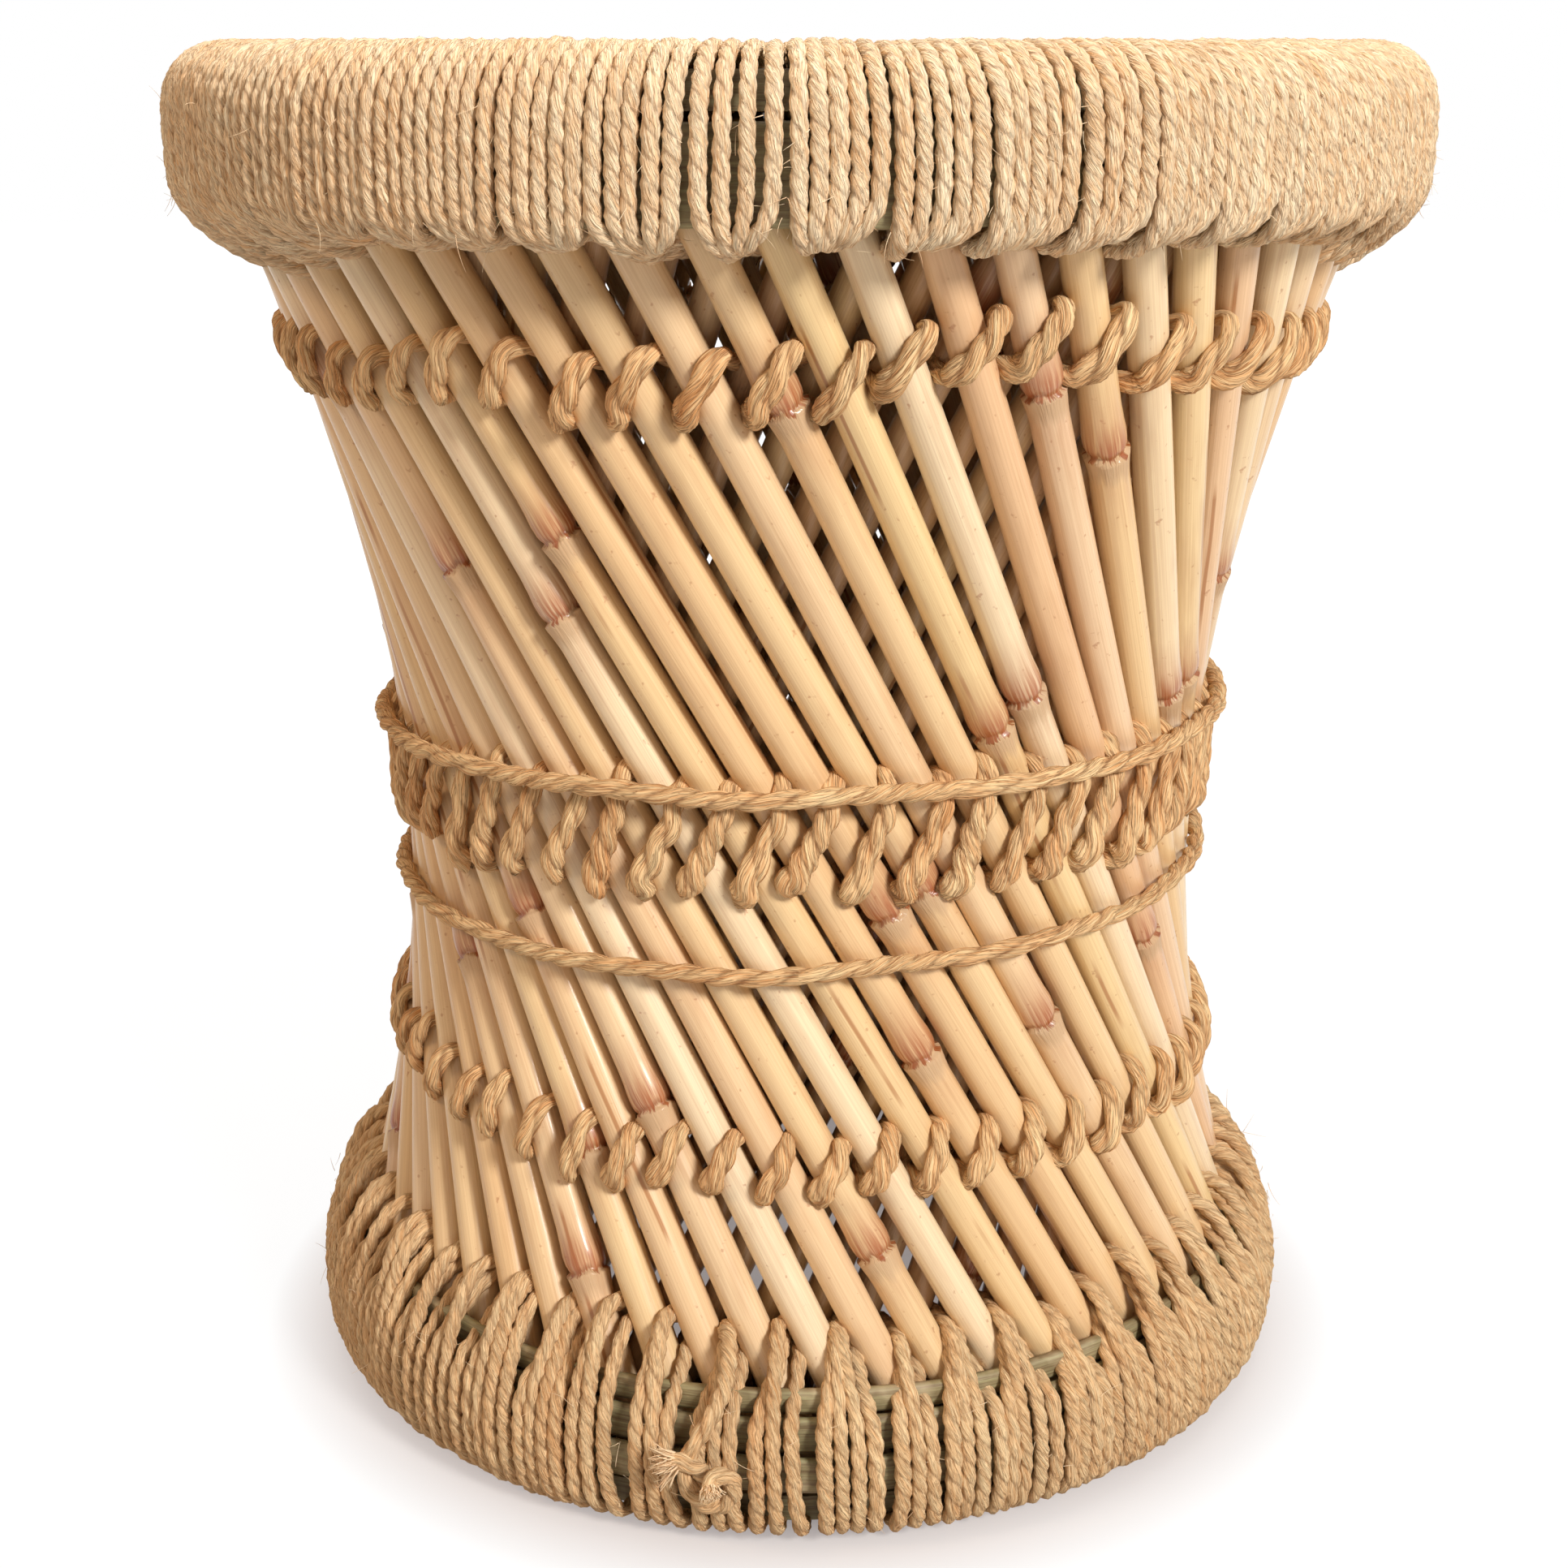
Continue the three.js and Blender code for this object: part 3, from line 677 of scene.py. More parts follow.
def joint_masks(tree, u, cosine, sine, tone):
    """Masks of the sheath, the collar and the edge between them, and the streaks that run through
    them. The signed distance from the joint is first moved up and down by a noise round the
    culm, so that the edge is ragged."""
    torn = tree.noise(tree.vector(cosine, sine, tone), 3.5, 3.0, 0.6)
    streak = tree.noise(tree.stretched((cosine, sine, u), (9.0, 9.0, 60.0)), 1.0, 2.0, 0.6)
    ragged = tree.times(tree.minus(torn, 0.5), 10 * MM)
    distance = tree.plus(tree.attribute("joint"), ragged)
    place = tree.remap(distance, -JOINT_REACH * MM, JOINT_REACH * MM)
    sheath, collar, edge = (
        tree.ramp(place, [(0.5 + 0.5 * above / JOINT_REACH, share) for above, share in stops])
        for stops in (SHEATH_STOPS, COLLAR_STOPS, EDGE_STOPS)
    )
    sheath = tree.times(sheath, tree.remap(tree.plus(streak, torn), 0.75, 1.15, 0.25, 1.0))
    return sheath, collar, edge, streak


def split_mask(tree, u, cosine, sine, tone):
    """Hairline splits along a culm: the angle round it is near one that the culm's tone picks and
    that wanders with the length, and a noise along the culm breaks the line off."""
    angle = tree.math("ARCTAN2", sine, cosine)
    bend = tree.noise(tree.vector(tree.times(u, 9.0), tree.times(tone, 91.0), 0.0))
    line = tree.plus(tree.times(tone, 87.0), tree.times(bend, 0.9))
    split = tree.remap(tree.math("COSINE", tree.minus(angle, line)), 0.990, 0.998)
    run = tree.noise(tree.vector(tree.times(u, 14.0), tree.times(tone, 53.0), 4.0))
    return tree.times(split, tree.remap(run, 0.50, 0.56, 0.0, 0.75))


def cane_material(name):
    """Satin culms, each with its own tone, with fine lines, specks, stains and splits, and at the
    joint a torn grey collar under a reddish sheath."""
    c = colours()
    material, tree, shader = new_material(name, c.cane_yellow)
    tone = tree.attribute("tone")
    out = tree.node("ShaderNodeGroup", {"Seed": tone}, node_tree=cane_grain_group()).outputs
    coordinates = tree.round_coordinates()
    sheath, collar, edge, streak = joint_masks(tree, *coordinates, tone)
    body = tree.mix(tree.remap(tone, 0.25, 0.85), c.cane_yellow, c.cane_pale)
    body = tree.covered(
        body,
        [
            (tree.attribute("blush"), 0.85, c.cane_pink),
            (tree.minus(1.0, out["Lines"]), 0.30, c.cane_stain),
            (out["Stain"], 0.30, c.cane_stain),
            (out["Specks"], 0.45, c.joint_red),
            (split_mask(tree, *coordinates, tone), 1.0, c.cane_stain),
            (sheath, 1.0, c.joint_red),
            (collar, 0.85, c.joint_grey),
            (tree.times(collar, tree.minus(1.0, streak)), 0.5, c.cane_stain),
            (edge, 0.55, c.shade),
        ],
    )
    tree.put(shader["Base Color"], body)
    rough = tree.plus(tree.times(collar, 0.45), tree.times(out["Lines"], 0.10))
    tree.put(shader["Roughness"], tree.plus(rough, 0.27))
    shader["Specular IOR Level"].default_value = 0.3
    shader["Coat Weight"].default_value = 0.22
    shader["Coat Roughness"].default_value = 0.12
    height = tree.plus(out["Height"], tree.times(tree.times(collar, streak), 4.0))
    tree.put(shader["Normal"], bump(tree, height, 0.3 * MM, 0.35))
    return material


def strip_material(name):
    """Split bamboo: grey-green skin in long grains, with brown fibres and pale worn patches. The
    grain is a noise on the object's place, squeezed in height."""
    c = colours()
    material, tree, shader = new_material(name, c.strip_green)
    place = tree.object_place()
    parts = tree.node("ShaderNodeSeparateXYZ", {0: place}).outputs
    grain = tree.noise(tree.stretched(parts, (40.0, 40.0, 900.0)), 1.0, 3.0, 0.65)
    blotches = tree.noise(place, 60.0, 3.0, 0.6)
    body = tree.mix(tree.remap(grain, 0.35, 0.7), c.strip_brown, c.strip_green)
    body = tree.mix(tree.remap(blotches, 0.5, 0.7, 0.0, 0.3), body, c.cane_pale)
    tree.put(shader["Base Color"], body)
    shader["Roughness"].default_value = 0.6
    tree.put(shader["Normal"], bump(tree, grain, 0.6 * MM, 0.6))
    return material


MAKERS = {
    "outer_culm": cane_material,
    "inner_culm": cane_material,
    "split_bamboo": strip_material,
    "loose_fibre": fibre_material,
    **dict.fromkeys(ROPE_FINISHES, rope_material),
}


def finish(name):
    """The material of that name, made the first time it is asked for."""
    return bpy.data.materials[name] if name in bpy.data.materials else MAKERS[name](name)


# Canes

# Heights of the joints that show at the front, in millimetres, by the number of the outer cane,
# counted from the one that passes the waist at the front towards +X
FRONT_JOINTS = {
    0: 290, 1: 315, 2: 150, 3: 198, 4: 205, 5: 154, 6: 357, 7: 255, 8: 265, 9: 167, 10: 360,
    11: 340, 13: 255, 49: 188, 50: 132, 51: 352, 52: 300, 53: 88,
}
# Where the others may be, in millimetres
OUTER_JOINTS = (70, 345)
INNER_JOINTS = (70, 400)
# Extra rings round a joint, by their distance above it
JOINT_RINGS = MM * np.array(
    [-15, -11, -9, -7, -5, -3.4, -2.2, -1.2, -0.5, 0.1, 0.7, 1.4, 2.4, 4, 7, 11, 16]
)
COLLAR_HEIGHT = 9 * MM
# Sides of a culm, and its even rings
CULM_MESH = {"outer": (30, 24), "inner": (14, 16)}
# The most by which a culm strays from its line sideways, in millimetres, and the share of it
# that it may stray in or out
CANE_BOW = 0.7
OUTWARD_BOW = 0.4
CANE_THICKNESS = (0.965, 1.035)
CANE_TAPER = 0.02
# Height of each wave of a collar's torn edge, in millimetres, and their number
TEAR_HEIGHT = (0.05, 0.34)
TEAR_WAVES = 7
# The collar rises to its edge with this power of the way up
COLLAR_POWER = 1.4
# The groove above a collar and the low swelling after it, each as its height in collars, its
# distance above the joint and its width
JOINT_BELLS = [(-0.55, 0.8 * MM, 1.1 * MM), (0.55, 6 * MM, 5 * MM)]
# The materials know the distance from the joint up to this
JOINT_SPAN = 60 * MM


def joint_swelling(distance, collar):
    """How far the culm swells at a distance above its joint. Below it the collar rises to its
    ragged edge with a power of the way up. Above it follow a groove and a low swelling as bell
    curves: a height times the exponential of minus the square of the distance from its middle
    over its width."""
    below = np.clip(1 + distance / COLLAR_HEIGHT, 0, 1) ** COLLAR_POWER
    above = sum(
        height * np.exp(-(((distance - place) / width) ** 2)) for height, place, width in JOINT_BELLS
    )
    return collar * np.where(distance < 0, below, above)


def cane_surfaces(layer, azimuths, joints, radius, sides, rings, rng):
    """Culms as tubes along the lines of a layer: radius times a slow taper, plus the swelling at
    the joint, whose edge wanders round the culm by a sum of waves. A sine of the height bows each
    culm a little outwards and sideways."""
    count = len(azimuths)
    even = np.linspace(FOOT_HEIGHT, HEAD_HEIGHT, rings)
    rise = 1 / math.hypot(1, layer.slope)
    near = joints[:, None] + JOINT_RINGS[None] * rise
    z = np.sort(np.concatenate([np.broadcast_to(even, (count, rings)), near], 1), axis=1)
    # A tiny step keeps apart the rings that are clipped to the same height
    z = np.clip(z, FOOT_HEIGHT, HEAD_HEIGHT) + np.arange(z.shape[1]) * 1e-7
    centre = polar(layer.radius(z), azimuths[:, None] + layer.turn(z), z)
    share = (z - FOOT_HEIGHT) / (HEAD_HEIGHT - FOOT_HEIGHT)
    outward = unit(centre * [1, 1, 0])
    sideways = np.cross(outward, [0, 0, 1])
    bow = rng.uniform(-CANE_BOW, CANE_BOW, (2, count, 1)) * MM * np.sin(np.pi * share * 1.5)
    centre = centre + bow[0][..., None] * outward * OUTWARD_BOW + bow[1][..., None] * sideways
    angle = TURN * np.arange(sides) / sides
    waves = np.arange(1, TEAR_WAVES + 1)[None, :, None]
    phase = rng.uniform(0, TURN, (count, TEAR_WAVES, 1))
    wave_height = rng.uniform(*TEAR_HEIGHT, (count, TEAR_WAVES, 1))
    tear = np.sum(np.cos(waves * angle[None, None] + phase) * wave_height, 1) * MM
    distance = (z - joints[:, None])[..., None] / rise + tear[:, None, :]
    size = rng.uniform(*CANE_THICKNESS, (count, 1, 1))
    taper = 1 + CANE_TAPER * (0.5 - share)[..., None]
    radii = radius * size * taper + joint_swelling(distance, sizes().collar)
    tone = rng.uniform(0, 1, (count, 1, 1))
    blush = np.clip(rng.normal(0.35, 0.35, (count, 1, 1)), 0, 1)
    signed = np.clip((z - joints[:, None]) / rise, -JOINT_SPAN, JOINT_SPAN)[..., None]
    parts = []
    for group in range(count // PER_GROUP):
        pick = slice(group * PER_GROUP, (group + 1) * PER_GROUP)
        parts.append(
            tube(
                centre[pick],
                outward[pick],
                radii[pick],
                np.broadcast_to(angle, radii[pick].shape),
                tone=tone[pick],
                blush=blush[pick],
                joint=signed[pick],
            )
        )
    return parts


def make_culms(side, layer, azimuths, joints, radius, rng):
    """The culms of the outer or the inner side, one piece for each of its nodes."""
    parts = cane_surfaces(layer, azimuths, joints, radius, *CULM_MESH[side], rng)
    for number, part in enumerate(parts, 1):
        node = f"{side}_canes_{number:02d}"
        make_piece(f"{side}_culms_{number:02d}", [part], finish(f"{side}_culm"), [node])


class MUDDA_OT_outer_canes(bpy.types.Operator):
    """Build the outer canes, which lean to the left as they rise"""

    bl_idname = "mudda.outer_canes"
    bl_label = "Outer Canes"

    def execute(self, context):
        rng = draws("outer_canes")
        joints = rng.uniform(*OUTER_JOINTS, CANES) * MM
        for number, height in FRONT_JOINTS.items():
            joints[number] = height * MM
        make_culms("outer", OUTER, cane_azimuths(0.0), joints, sizes().outer_cane, rng)
        return {"FINISHED"}


class MUDDA_OT_inner_canes(bpy.types.Operator):
    """Build the inner canes, which lean to the right as they rise"""

    bl_idname = "mudda.inner_canes"
    bl_label = "Inner Canes"

    def execute(self, context):
        rng = draws("inner_canes")
        joints = rng.uniform(*INNER_JOINTS, CANES) * MM
        make_culms("inner", INNER, cane_azimuths(INNER_SHIFT), joints, sizes().inner_cane, rng)
        return {"FINISHED"}


# Split hoops

STRIP_SEGMENTS = 160
STRIP_SECTION = 10
# The base's top hoop and the rim's lower one show, split narrower than their nodes
BASE_STRIP_TOP = 51.5 * MM
RIM_STRIP_BOTTOM = 408 * MM
# How far a strip reaches past its node's top and bottom
RIM_OVERLAP = 1.3 * MM
BASE_OVERLAP = 0.3 * MM
# How far its outer face lies inside its node's
STRIP_INSET = 0.4 * MM
STRIP_CROWN = 0.35 * MM
SQUARENESS = 0.35


def strip_surface(node, rng):
    """A split hoop in the place of a CAD hoop, carried round the axis. Its section is a cosine and
    a sine, each to a low power, so a flat box with round edges, and its outer face is crowned by
    a parabola. Its height wanders by slow waves."""
    low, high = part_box(node)
    if node == "base_hoop_3":
        high.z = BASE_STRIP_TOP
    if node == "rim_hoop_lower":
        low.z = RIM_STRIP_BOTTOM
    outside = high.x - STRIP_INSET
    middle, half = (low.z + high.z) / 2, (high.z - low.z) / 2
    azimuth = TURN * np.arange(STRIP_SEGMENTS) / STRIP_SEGMENTS
    wander = slow_waves(azimuth, (3, 5, 9, 14), (0.1, 0.35), rng)
    thickness = sizes().strip
    angle = TURN * (np.arange(STRIP_SECTION) + 0.5) / STRIP_SECTION
    across = np.sign(np.cos(angle)) * np.abs(np.cos(angle)) ** SQUARENESS
    upward = np.sign(np.sin(angle)) * np.abs(np.sin(angle)) ** SQUARENESS
    overlap = RIM_OVERLAP if node.startswith("rim") else BASE_OVERLAP
    x, y = across * thickness / 2, upward * (half + overlap)
    x = x + STRIP_CROWN * (1 - upward**2) * (across > 0)
    radii = np.hypot(x, y)[None].repeat(STRIP_SEGMENTS, 0)
    angles = -np.arctan2(y, x)[None].repeat(STRIP_SEGMENTS, 0)
    path = polar(outside - thickness / 2, azimuth, middle + wander)
    order = slice(None, None, -1)
    return tube(path, unit(path * [1, 1, 0]), radii[:, order], angles[:, order], closed=True)


class MUDDA_OT_split_hoops(bpy.types.Operator):
    """Build the split hoops that show between the turns of rope, and finish the hidden ones"""

    bl_idname = "mudda.split_hoops"
    bl_label = "Split Hoops"

    def execute(self, context):
        rng = draws("split_hoops")
        shown = ["rim_hoop_upper", "rim_hoop_lower", "base_hoop_1", "base_hoop_2", "base_hoop_3"]
        for node in shown:
            name = node.replace("hoop", "strip")
            make_piece(name, [strip_surface(node, rng)], finish("split_bamboo"), [node])
        for node in ("rim_hoop_inner", "rim_cap_hoop", "base_hoop_inner", "base_foot_hoop"):
            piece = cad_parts[node]
            piece.data.materials.clear()
            piece.data.materials.append(finish("split_bamboo"))
        return {"FINISHED"}


# Rope wound round the rings

# Outlines of one turn as [radius, height] of the rope's middle, in millimetres. Each starts
# between the two layers of canes, goes out through a gap, round the ring and back in.
RIM_TURN = [
    [171, 395.5], [179, 395.5], [187, 397.2], [194.5, 400.8], [199.4, 406.6], [200.8, 413.5],
    [201, 422], [201, 430.5], [200, 438], [196.4, 444.4], [190, 448.8], [181.5, 450],
    [173.3, 448.8], [166.2, 444.6], [161.4, 438], [159, 429], [158.4, 418], [157.4, 408],
    [156.6, 402], [159, 397.5], [164.5, 395.8],
]
BASE_TURN = [
    [146, 65.5], [152, 66.8], [158, 65.2], [163.6, 59.4], [168.4, 51.4], [172.2, 42.4],
    [174.7, 32], [175.1, 20.6], [173.5, 11.2], [168.8, 5.9], [161, 4.3], [152, 4.3],
    [144, 5.2], [137.8, 10.8], [134.9, 20], [134, 30], [132.2, 42], [130.4, 52],
    [131.8, 59.5], [138, 64],
]
# The long rope is cut into so many pieces, and has so many sides and points in each turn
SECTORS = 6
ROPE_SIDES = 14
RIM_STEPS = 84
BASE_STEPS = 90
# How far apart the middles of the rope's two strands lie
RIM_DEPTH = 0.38
BASE_DEPTH = 0.40
# Heights at which the outlines pass through a gap
RIM_LEVEL = 397 * MM
BASE_LEVEL = 66 * MM
# The most by which a turn may pass above the rim's outline, before it meets the hoop, in
# millimetres, and how far the lowest turns lie from it: below it behind, and higher in front
RIM_LIFT = 11.0
RIM_LOWEST = -10.5
RIM_FRONT_RISE = 16
# The gaps at the front of the foot with few turns: the azimuth of their middle, and how far they
# reach to either side
BASE_FRONT_MIDDLE = math.radians(4)
BASE_FRONT_HALF = math.radians(29)
# Shares of a pitch that the turns of one gap fill: on the ring, and in the gaps of both layers
RING_SPREAD = 0.97
OUTER_SPREAD = 0.34
INNER_SPREAD = 0.2
# Lengths along a turn, from its gap, over which it goes from the inner gap to the outer one, and
# over which bunched turns spread again
CROSSING = (-7 * MM, 5 * MM)
BUNCH_END = 58 * MM
BUNCH_FADE = 22 * MM
# Turns lie a little off the outline at random, every other one further out inside the ring, and
# one that crosses higher also lies further out, by this share; all but the last in millimetres
WOBBLE = 0.22
STAGGER = 0.55
LIFT_OUT = 0.42
# The share of a turn from which it lies inside the ring, and over which it gets there
INSIDE_FROM = 0.52
INSIDE_EASE = 0.1
# How much the thickness varies from turn to turn, at most so many times as much, and how much the
# tone varies
TURN_THICKNESS = 0.07
TURN_LIMIT = 1.6
TURN_TONE = 0.28
# The share of the rim's gaps whose turns are pulled together, and the shares of its pitch that
# the turns of such a gap and of the others fill
OPEN_GAPS = 0.15
LOOSE_TURNS = (0.89, 0.94)
TIGHT_TURNS = (0.98, 1.01)
# From so many millimetres off their gap the rim's turns stand evenly
RIM_REACH = (33, 42)


def rim_counts(rng):
    """Turns of rope in each gap between canes at the rim."""
    return rng.choice([5, 5, 5, 5, 5, 4, 5, 5], CANES)


def base_front():
    """The gaps at the foot where the turns are few and the hoops show between them."""
    middle = (np.arange(CANES) + 0.5) * PITCH + OUTER.turn(BASE_LEVEL)
    return np.cos(middle - BASE_FRONT_MIDDLE) > math.cos(BASE_FRONT_HALF)


def base_counts(rng):
    """Turns in each gap at the foot: mostly three at the front, and more elsewhere."""
    return np.where(base_front(), rng.choice([3, 3, 3, 4], CANES), rng.choice([3, 4, 4], CANES))


def turn_outline(outline):
    """The smooth outline of a turn as even places [radius, height], its normals and its length."""
    loop = even_steps(catmull_rom(np.array(outline) * MM, 12), 400, closed=True)
    round_again = np.concatenate([loop, loop[:1]])
    length = np.sum(np.linalg.norm(np.diff(round_again, axis=0), axis=1))
    along = np.gradient(np.concatenate([loop[-1:], round_again]), axis=0)[1:-1]
    return loop, unit(np.stack([along[:, 1], -along[:, 0]], -1)), length


def wound_path(
    outline, counts, *, steps, level, drop, reach, fade, jitter, lean, closeness, drift, rng
):
    """The middle line of a rope wound in one long helix round a ring, with `counts` turns in each
    gap and `steps` points in each turn. Along a turn the radius and height follow the outline.
    On the far side of the ring the azimuth runs evenly, apart from the random `jitter` in fifths
    of a pitch and the slant `lean(azimuth)`; within `reach` of the gap it eases to the azimuth of
    the gap between two canes, outside and inside. In each gap the turns cross at heights
    `drop(rank, count, gap)` in millimetres above or below the outline's `level`, which fades away
    over the lengths `fade`. On the ring they stand off the gap by its `drift` in pitches, and
    fill the share `closeness` of its pitch."""
    # Each turn by its gap, its rank in it, and the azimuths where it stands on the ring and where
    # it passes the outer and the inner canes
    gap = np.repeat(np.arange(CANES), counts)
    starts = np.concatenate([[0], np.cumsum(counts)])
    rank = np.arange(len(gap)) - starts[gap]
    share = (rank + 0.5) / counts[gap] - 0.5
    turns = len(gap)
    height_shift = drop(rank, counts[gap], gap) * MM
    crossing = level + height_shift
    wall = (gap + 0.5 + drift[gap] + share * RING_SPREAD) * PITCH + OUTER.turn(level)
    bunched = wall + share * (closeness[gap] - RING_SPREAD) * PITCH
    outer_gap = (gap + 0.5 + share * OUTER_SPREAD) * PITCH + OUTER.turn(crossing)
    inner_turn = INNER.turn(crossing) + INNER_SHIFT
    facing = np.round((outer_gap - inner_turn) / PITCH - 0.5)
    inner_gap = (facing + 0.5 + share * INNER_SPREAD) * PITCH + inner_turn

    # Each point by the share s of its turn, and its length along it from the nearest gap
    loop, loop_normal, loop_length = turn_outline(outline)
    place = np.arange(turns * steps + 1) / steps
    whole = np.minimum(place.astype(int), turns - 1)
    s = place - np.floor(place)
    nearest = np.round(place).astype(int)
    arc = (place - nearest) * loop_length
    cross = nearest % turns
    lap = (nearest // turns) * TURN
    even = np.interp(place, np.arange(turns + 1), np.append(wall, wall[0] + TURN))
    bunch = 1 - smoothstep((arc - BUNCH_END) / BUNCH_FADE)
    even = even + (bunched - wall)[cross] * np.where(arc > 0, bunch, 0)
    target_in, target_out = inner_gap[cross] + lap, outer_gap[cross] + lap
    through = smoothstep((arc - CROSSING[0]) / (CROSSING[1] - CROSSING[0]))
    target = target_in + (target_out - target_in) * through
    far = reach[1][gap[cross]]
    pull = 1 - smoothstep((np.abs(arc) - reach[0]) / (far - reach[0]))
    swing = np.interp(place, np.arange(turns + 1), rng.normal(0, jitter, turns + 1)) * PITCH / 5
    slant = lean(even) * np.sin(TURN * s)
    azimuth = even * (1 - pull) + target * pull + (swing + slant) * (1 - pull)

    # Radius and height
    sample = s * len(loop)
    columns = np.arange(len(loop) + 1)

    def follow(values):
        closed_values = np.append(values, values[0])
        return np.interp(sample, columns, closed_values)

    near = 1 - smoothstep((np.abs(arc) - fade[0]) / (fade[1] - fade[0]))
    lift = height_shift[cross] * near
    thirds = np.arange(3 * turns + 4)
    wobble = np.interp(place * 3, thirds, rng.normal(0, WOBBLE, len(thirds))) * MM
    stagger = np.where(whole % 2, STAGGER, -STAGGER) * MM * np.sin(np.pi * s) ** 2
    normal_r, normal_z = follow(loop_normal[:, 0]), follow(loop_normal[:, 1])
    inside = smoothstep((s - INSIDE_FROM) / INSIDE_EASE) * smoothstep((1 - s) / INSIDE_EASE)
    offset = wobble * (1 - pull) + stagger * inside
    radius = follow(loop[:, 0]) + normal_r * offset + lift * LIFT_OUT
    height = follow(loop[:, 1]) + normal_z * offset + lift
    path = polar(radius, azimuth, height)
    radial = unit(path * [1, 1, 0])
    outward = normal_r[:, None] * radial + normal_z[:, None] * [0, 0, 1]
    return path, outward, whole


def wind_rope(ring, wound, steps, radius, lay, depth, rng):
    """Cuts the long path at whole turns into sectors, and makes each a piece of laid rope whose
    thickness and tone change slowly from turn to turn."""
    path, outward, whole = wound
    turns = whole[-1] + 1
    swell = np.clip(rng.standard_normal(turns + 1), -TURN_LIMIT, TURN_LIMIT)
    swell = 1 + TURN_THICKNESS * swell
    tone = np.clip(0.5 + TURN_TONE * rng.standard_normal(turns + 1), 0, 1)
    place = np.arange(len(path)) / steps
    thick = np.interp(place, np.arange(turns + 1), swell)
    shade = np.interp(place, np.arange(turns + 1), tone)
    cuts = np.linspace(0, turns, SECTORS + 1).astype(int) * steps
    for number, (first, last) in enumerate(zip(cuts[:-1], cuts[1:]), 1):
        pick = slice(first, last + 1)
        part = laid_rope(
            path[pick], outward[pick], radius, lay, ROPE_SIDES, depth=depth, swell=thick[pick],
            tone=shade[pick][None, :, None],
        )
        name, node = f"{ring}_rope_{number}", f"{ring}_rope_cover"
        make_piece(name, [part], finish(f"{ring}_cord"), [node])


class MUDDA_OT_rim_rope(bpy.types.Operator):
    """Wind the rope round the rim"""

    bl_idname = "mudda.rim_rope"
    bl_label = "Rim Rope"

    def execute(self, context):
        rng = draws("rim_rope")
        counts = rim_counts(rng)
        azimuth = (np.arange(CANES) + 0.5) * PITCH + OUTER.turn(RIM_LEVEL)
        # 1 in the gaps at the front and 0 in those behind
        front = smoothstep((np.cos(azimuth - 0.1) - 0.35) / 0.5)
        # The turns of a gap climb by a step each, to a ragged edge
        lowest = RIM_LOWEST + RIM_FRONT_RISE * front + rng.normal(0, 2.0, CANES)
        step = 2.5 - 1.0 * front
        # Turns that are pulled together leave a slit beside them
        open_gap = rng.random(CANES) < OPEN_GAPS
        loose, tight = rng.uniform(*LOOSE_TURNS, CANES), rng.uniform(*TIGHT_TURNS, CANES)
        closeness = np.where(open_gap, loose, tight)
        far = rng.uniform(*RIM_REACH, CANES) * MM
        drift = 0.2 * np.sin(3 * azimuth - 0.15) - 0.12 + rng.normal(0, 0.035, CANES)

        def drop(rank, count, gap):
            ragged = rng.normal(0, 0.9, len(rank))
            return np.minimum(lowest[gap] + rank * step[gap] * (5 / count) + ragged, RIM_LIFT)

        def lean(azimuth):
            return PITCH * (0.11 * np.sin(3 * azimuth + 1.0) + 0.07 * np.sin(7 * azimuth))

        path = wound_path(
            RIM_TURN, counts, steps=RIM_STEPS, level=RIM_LEVEL, drop=drop, reach=(16 * MM, far),
            fade=(0.0, 36 * MM), jitter=0.09, lean=lean, closeness=closeness, drift=drift, rng=rng,
        )
        s = sizes()
        wind_rope("rim", path, RIM_STEPS, s.rim_rope, s.rim_lay, RIM_DEPTH, rng)
        return {"FINISHED"}


class MUDDA_OT_base_rope(bpy.types.Operator):
    """Wind the rope round the foot"""

    bl_idname = "mudda.base_rope"
    bl_label = "Base Rope"

    def execute(self, context):
        rng = draws("base_rope")
        counts = base_counts(rng)
        closeness = np.where(base_front(), counts / 3 * 0.77, 0.96)
        # The middle turn of a gap crosses highest, and the whole gap's turns may dip
        dip = rng.uniform(0, 1, CANES) * np.where(base_front(), 11, 6)
        drift = rng.normal(0, 0.05, CANES) * np.where(base_front(), 1.5, 0.6)

        def drop(rank, count, gap):
            middle = 1 - np.abs(rank - (count - 1) / 2 + 0.25) / (count / 2)
            return 10.5 * middle - 5.5 - dip[gap] + rng.normal(0, 1.3, len(rank))

        def lean(azimuth):
            return PITCH * 0.06 * np.sin(4 * azimuth)

        far = np.full(CANES, 44 * MM)
        path = wound_path(
            BASE_TURN, counts, steps=BASE_STEPS, level=BASE_LEVEL, drop=drop, reach=(8 * MM, far),
            fade=(14 * MM, 44 * MM), jitter=0.12, lean=lean, closeness=closeness, drift=drift,
            rng=rng,
        )
        s = sizes()
        wind_rope("base", path, BASE_STEPS, s.base_rope, s.rope_lay, BASE_DEPTH, rng)
        return {"FINISHED"}


# Twine

# One stitch as [share of the pitch, outward from the canes' middle, height, thickness share],
# lengths in millimetres and heights from the middle of the row. It comes out low through the
# gap on the left of a cane, crosses it upwards and goes in through the gap on its right.
LASHING_STITCH = [
    [-0.50, -8.0, -6.0, 0.90], [-0.52, 1.0, -8.0, 1.10], [-0.42, 6.2, -7.0, 1.16],
    [-0.22, 8.6, -3.4, 1.1], [0.10, 8.9, 1.8, 1.02], [0.34, 7.9, 6.4, 0.95],
    [0.50, 4.2, 9.0, 0.85], [0.53, -3.0, 7.6, 0.80], [0.56, -13.0, 3.0, 0.85],
]
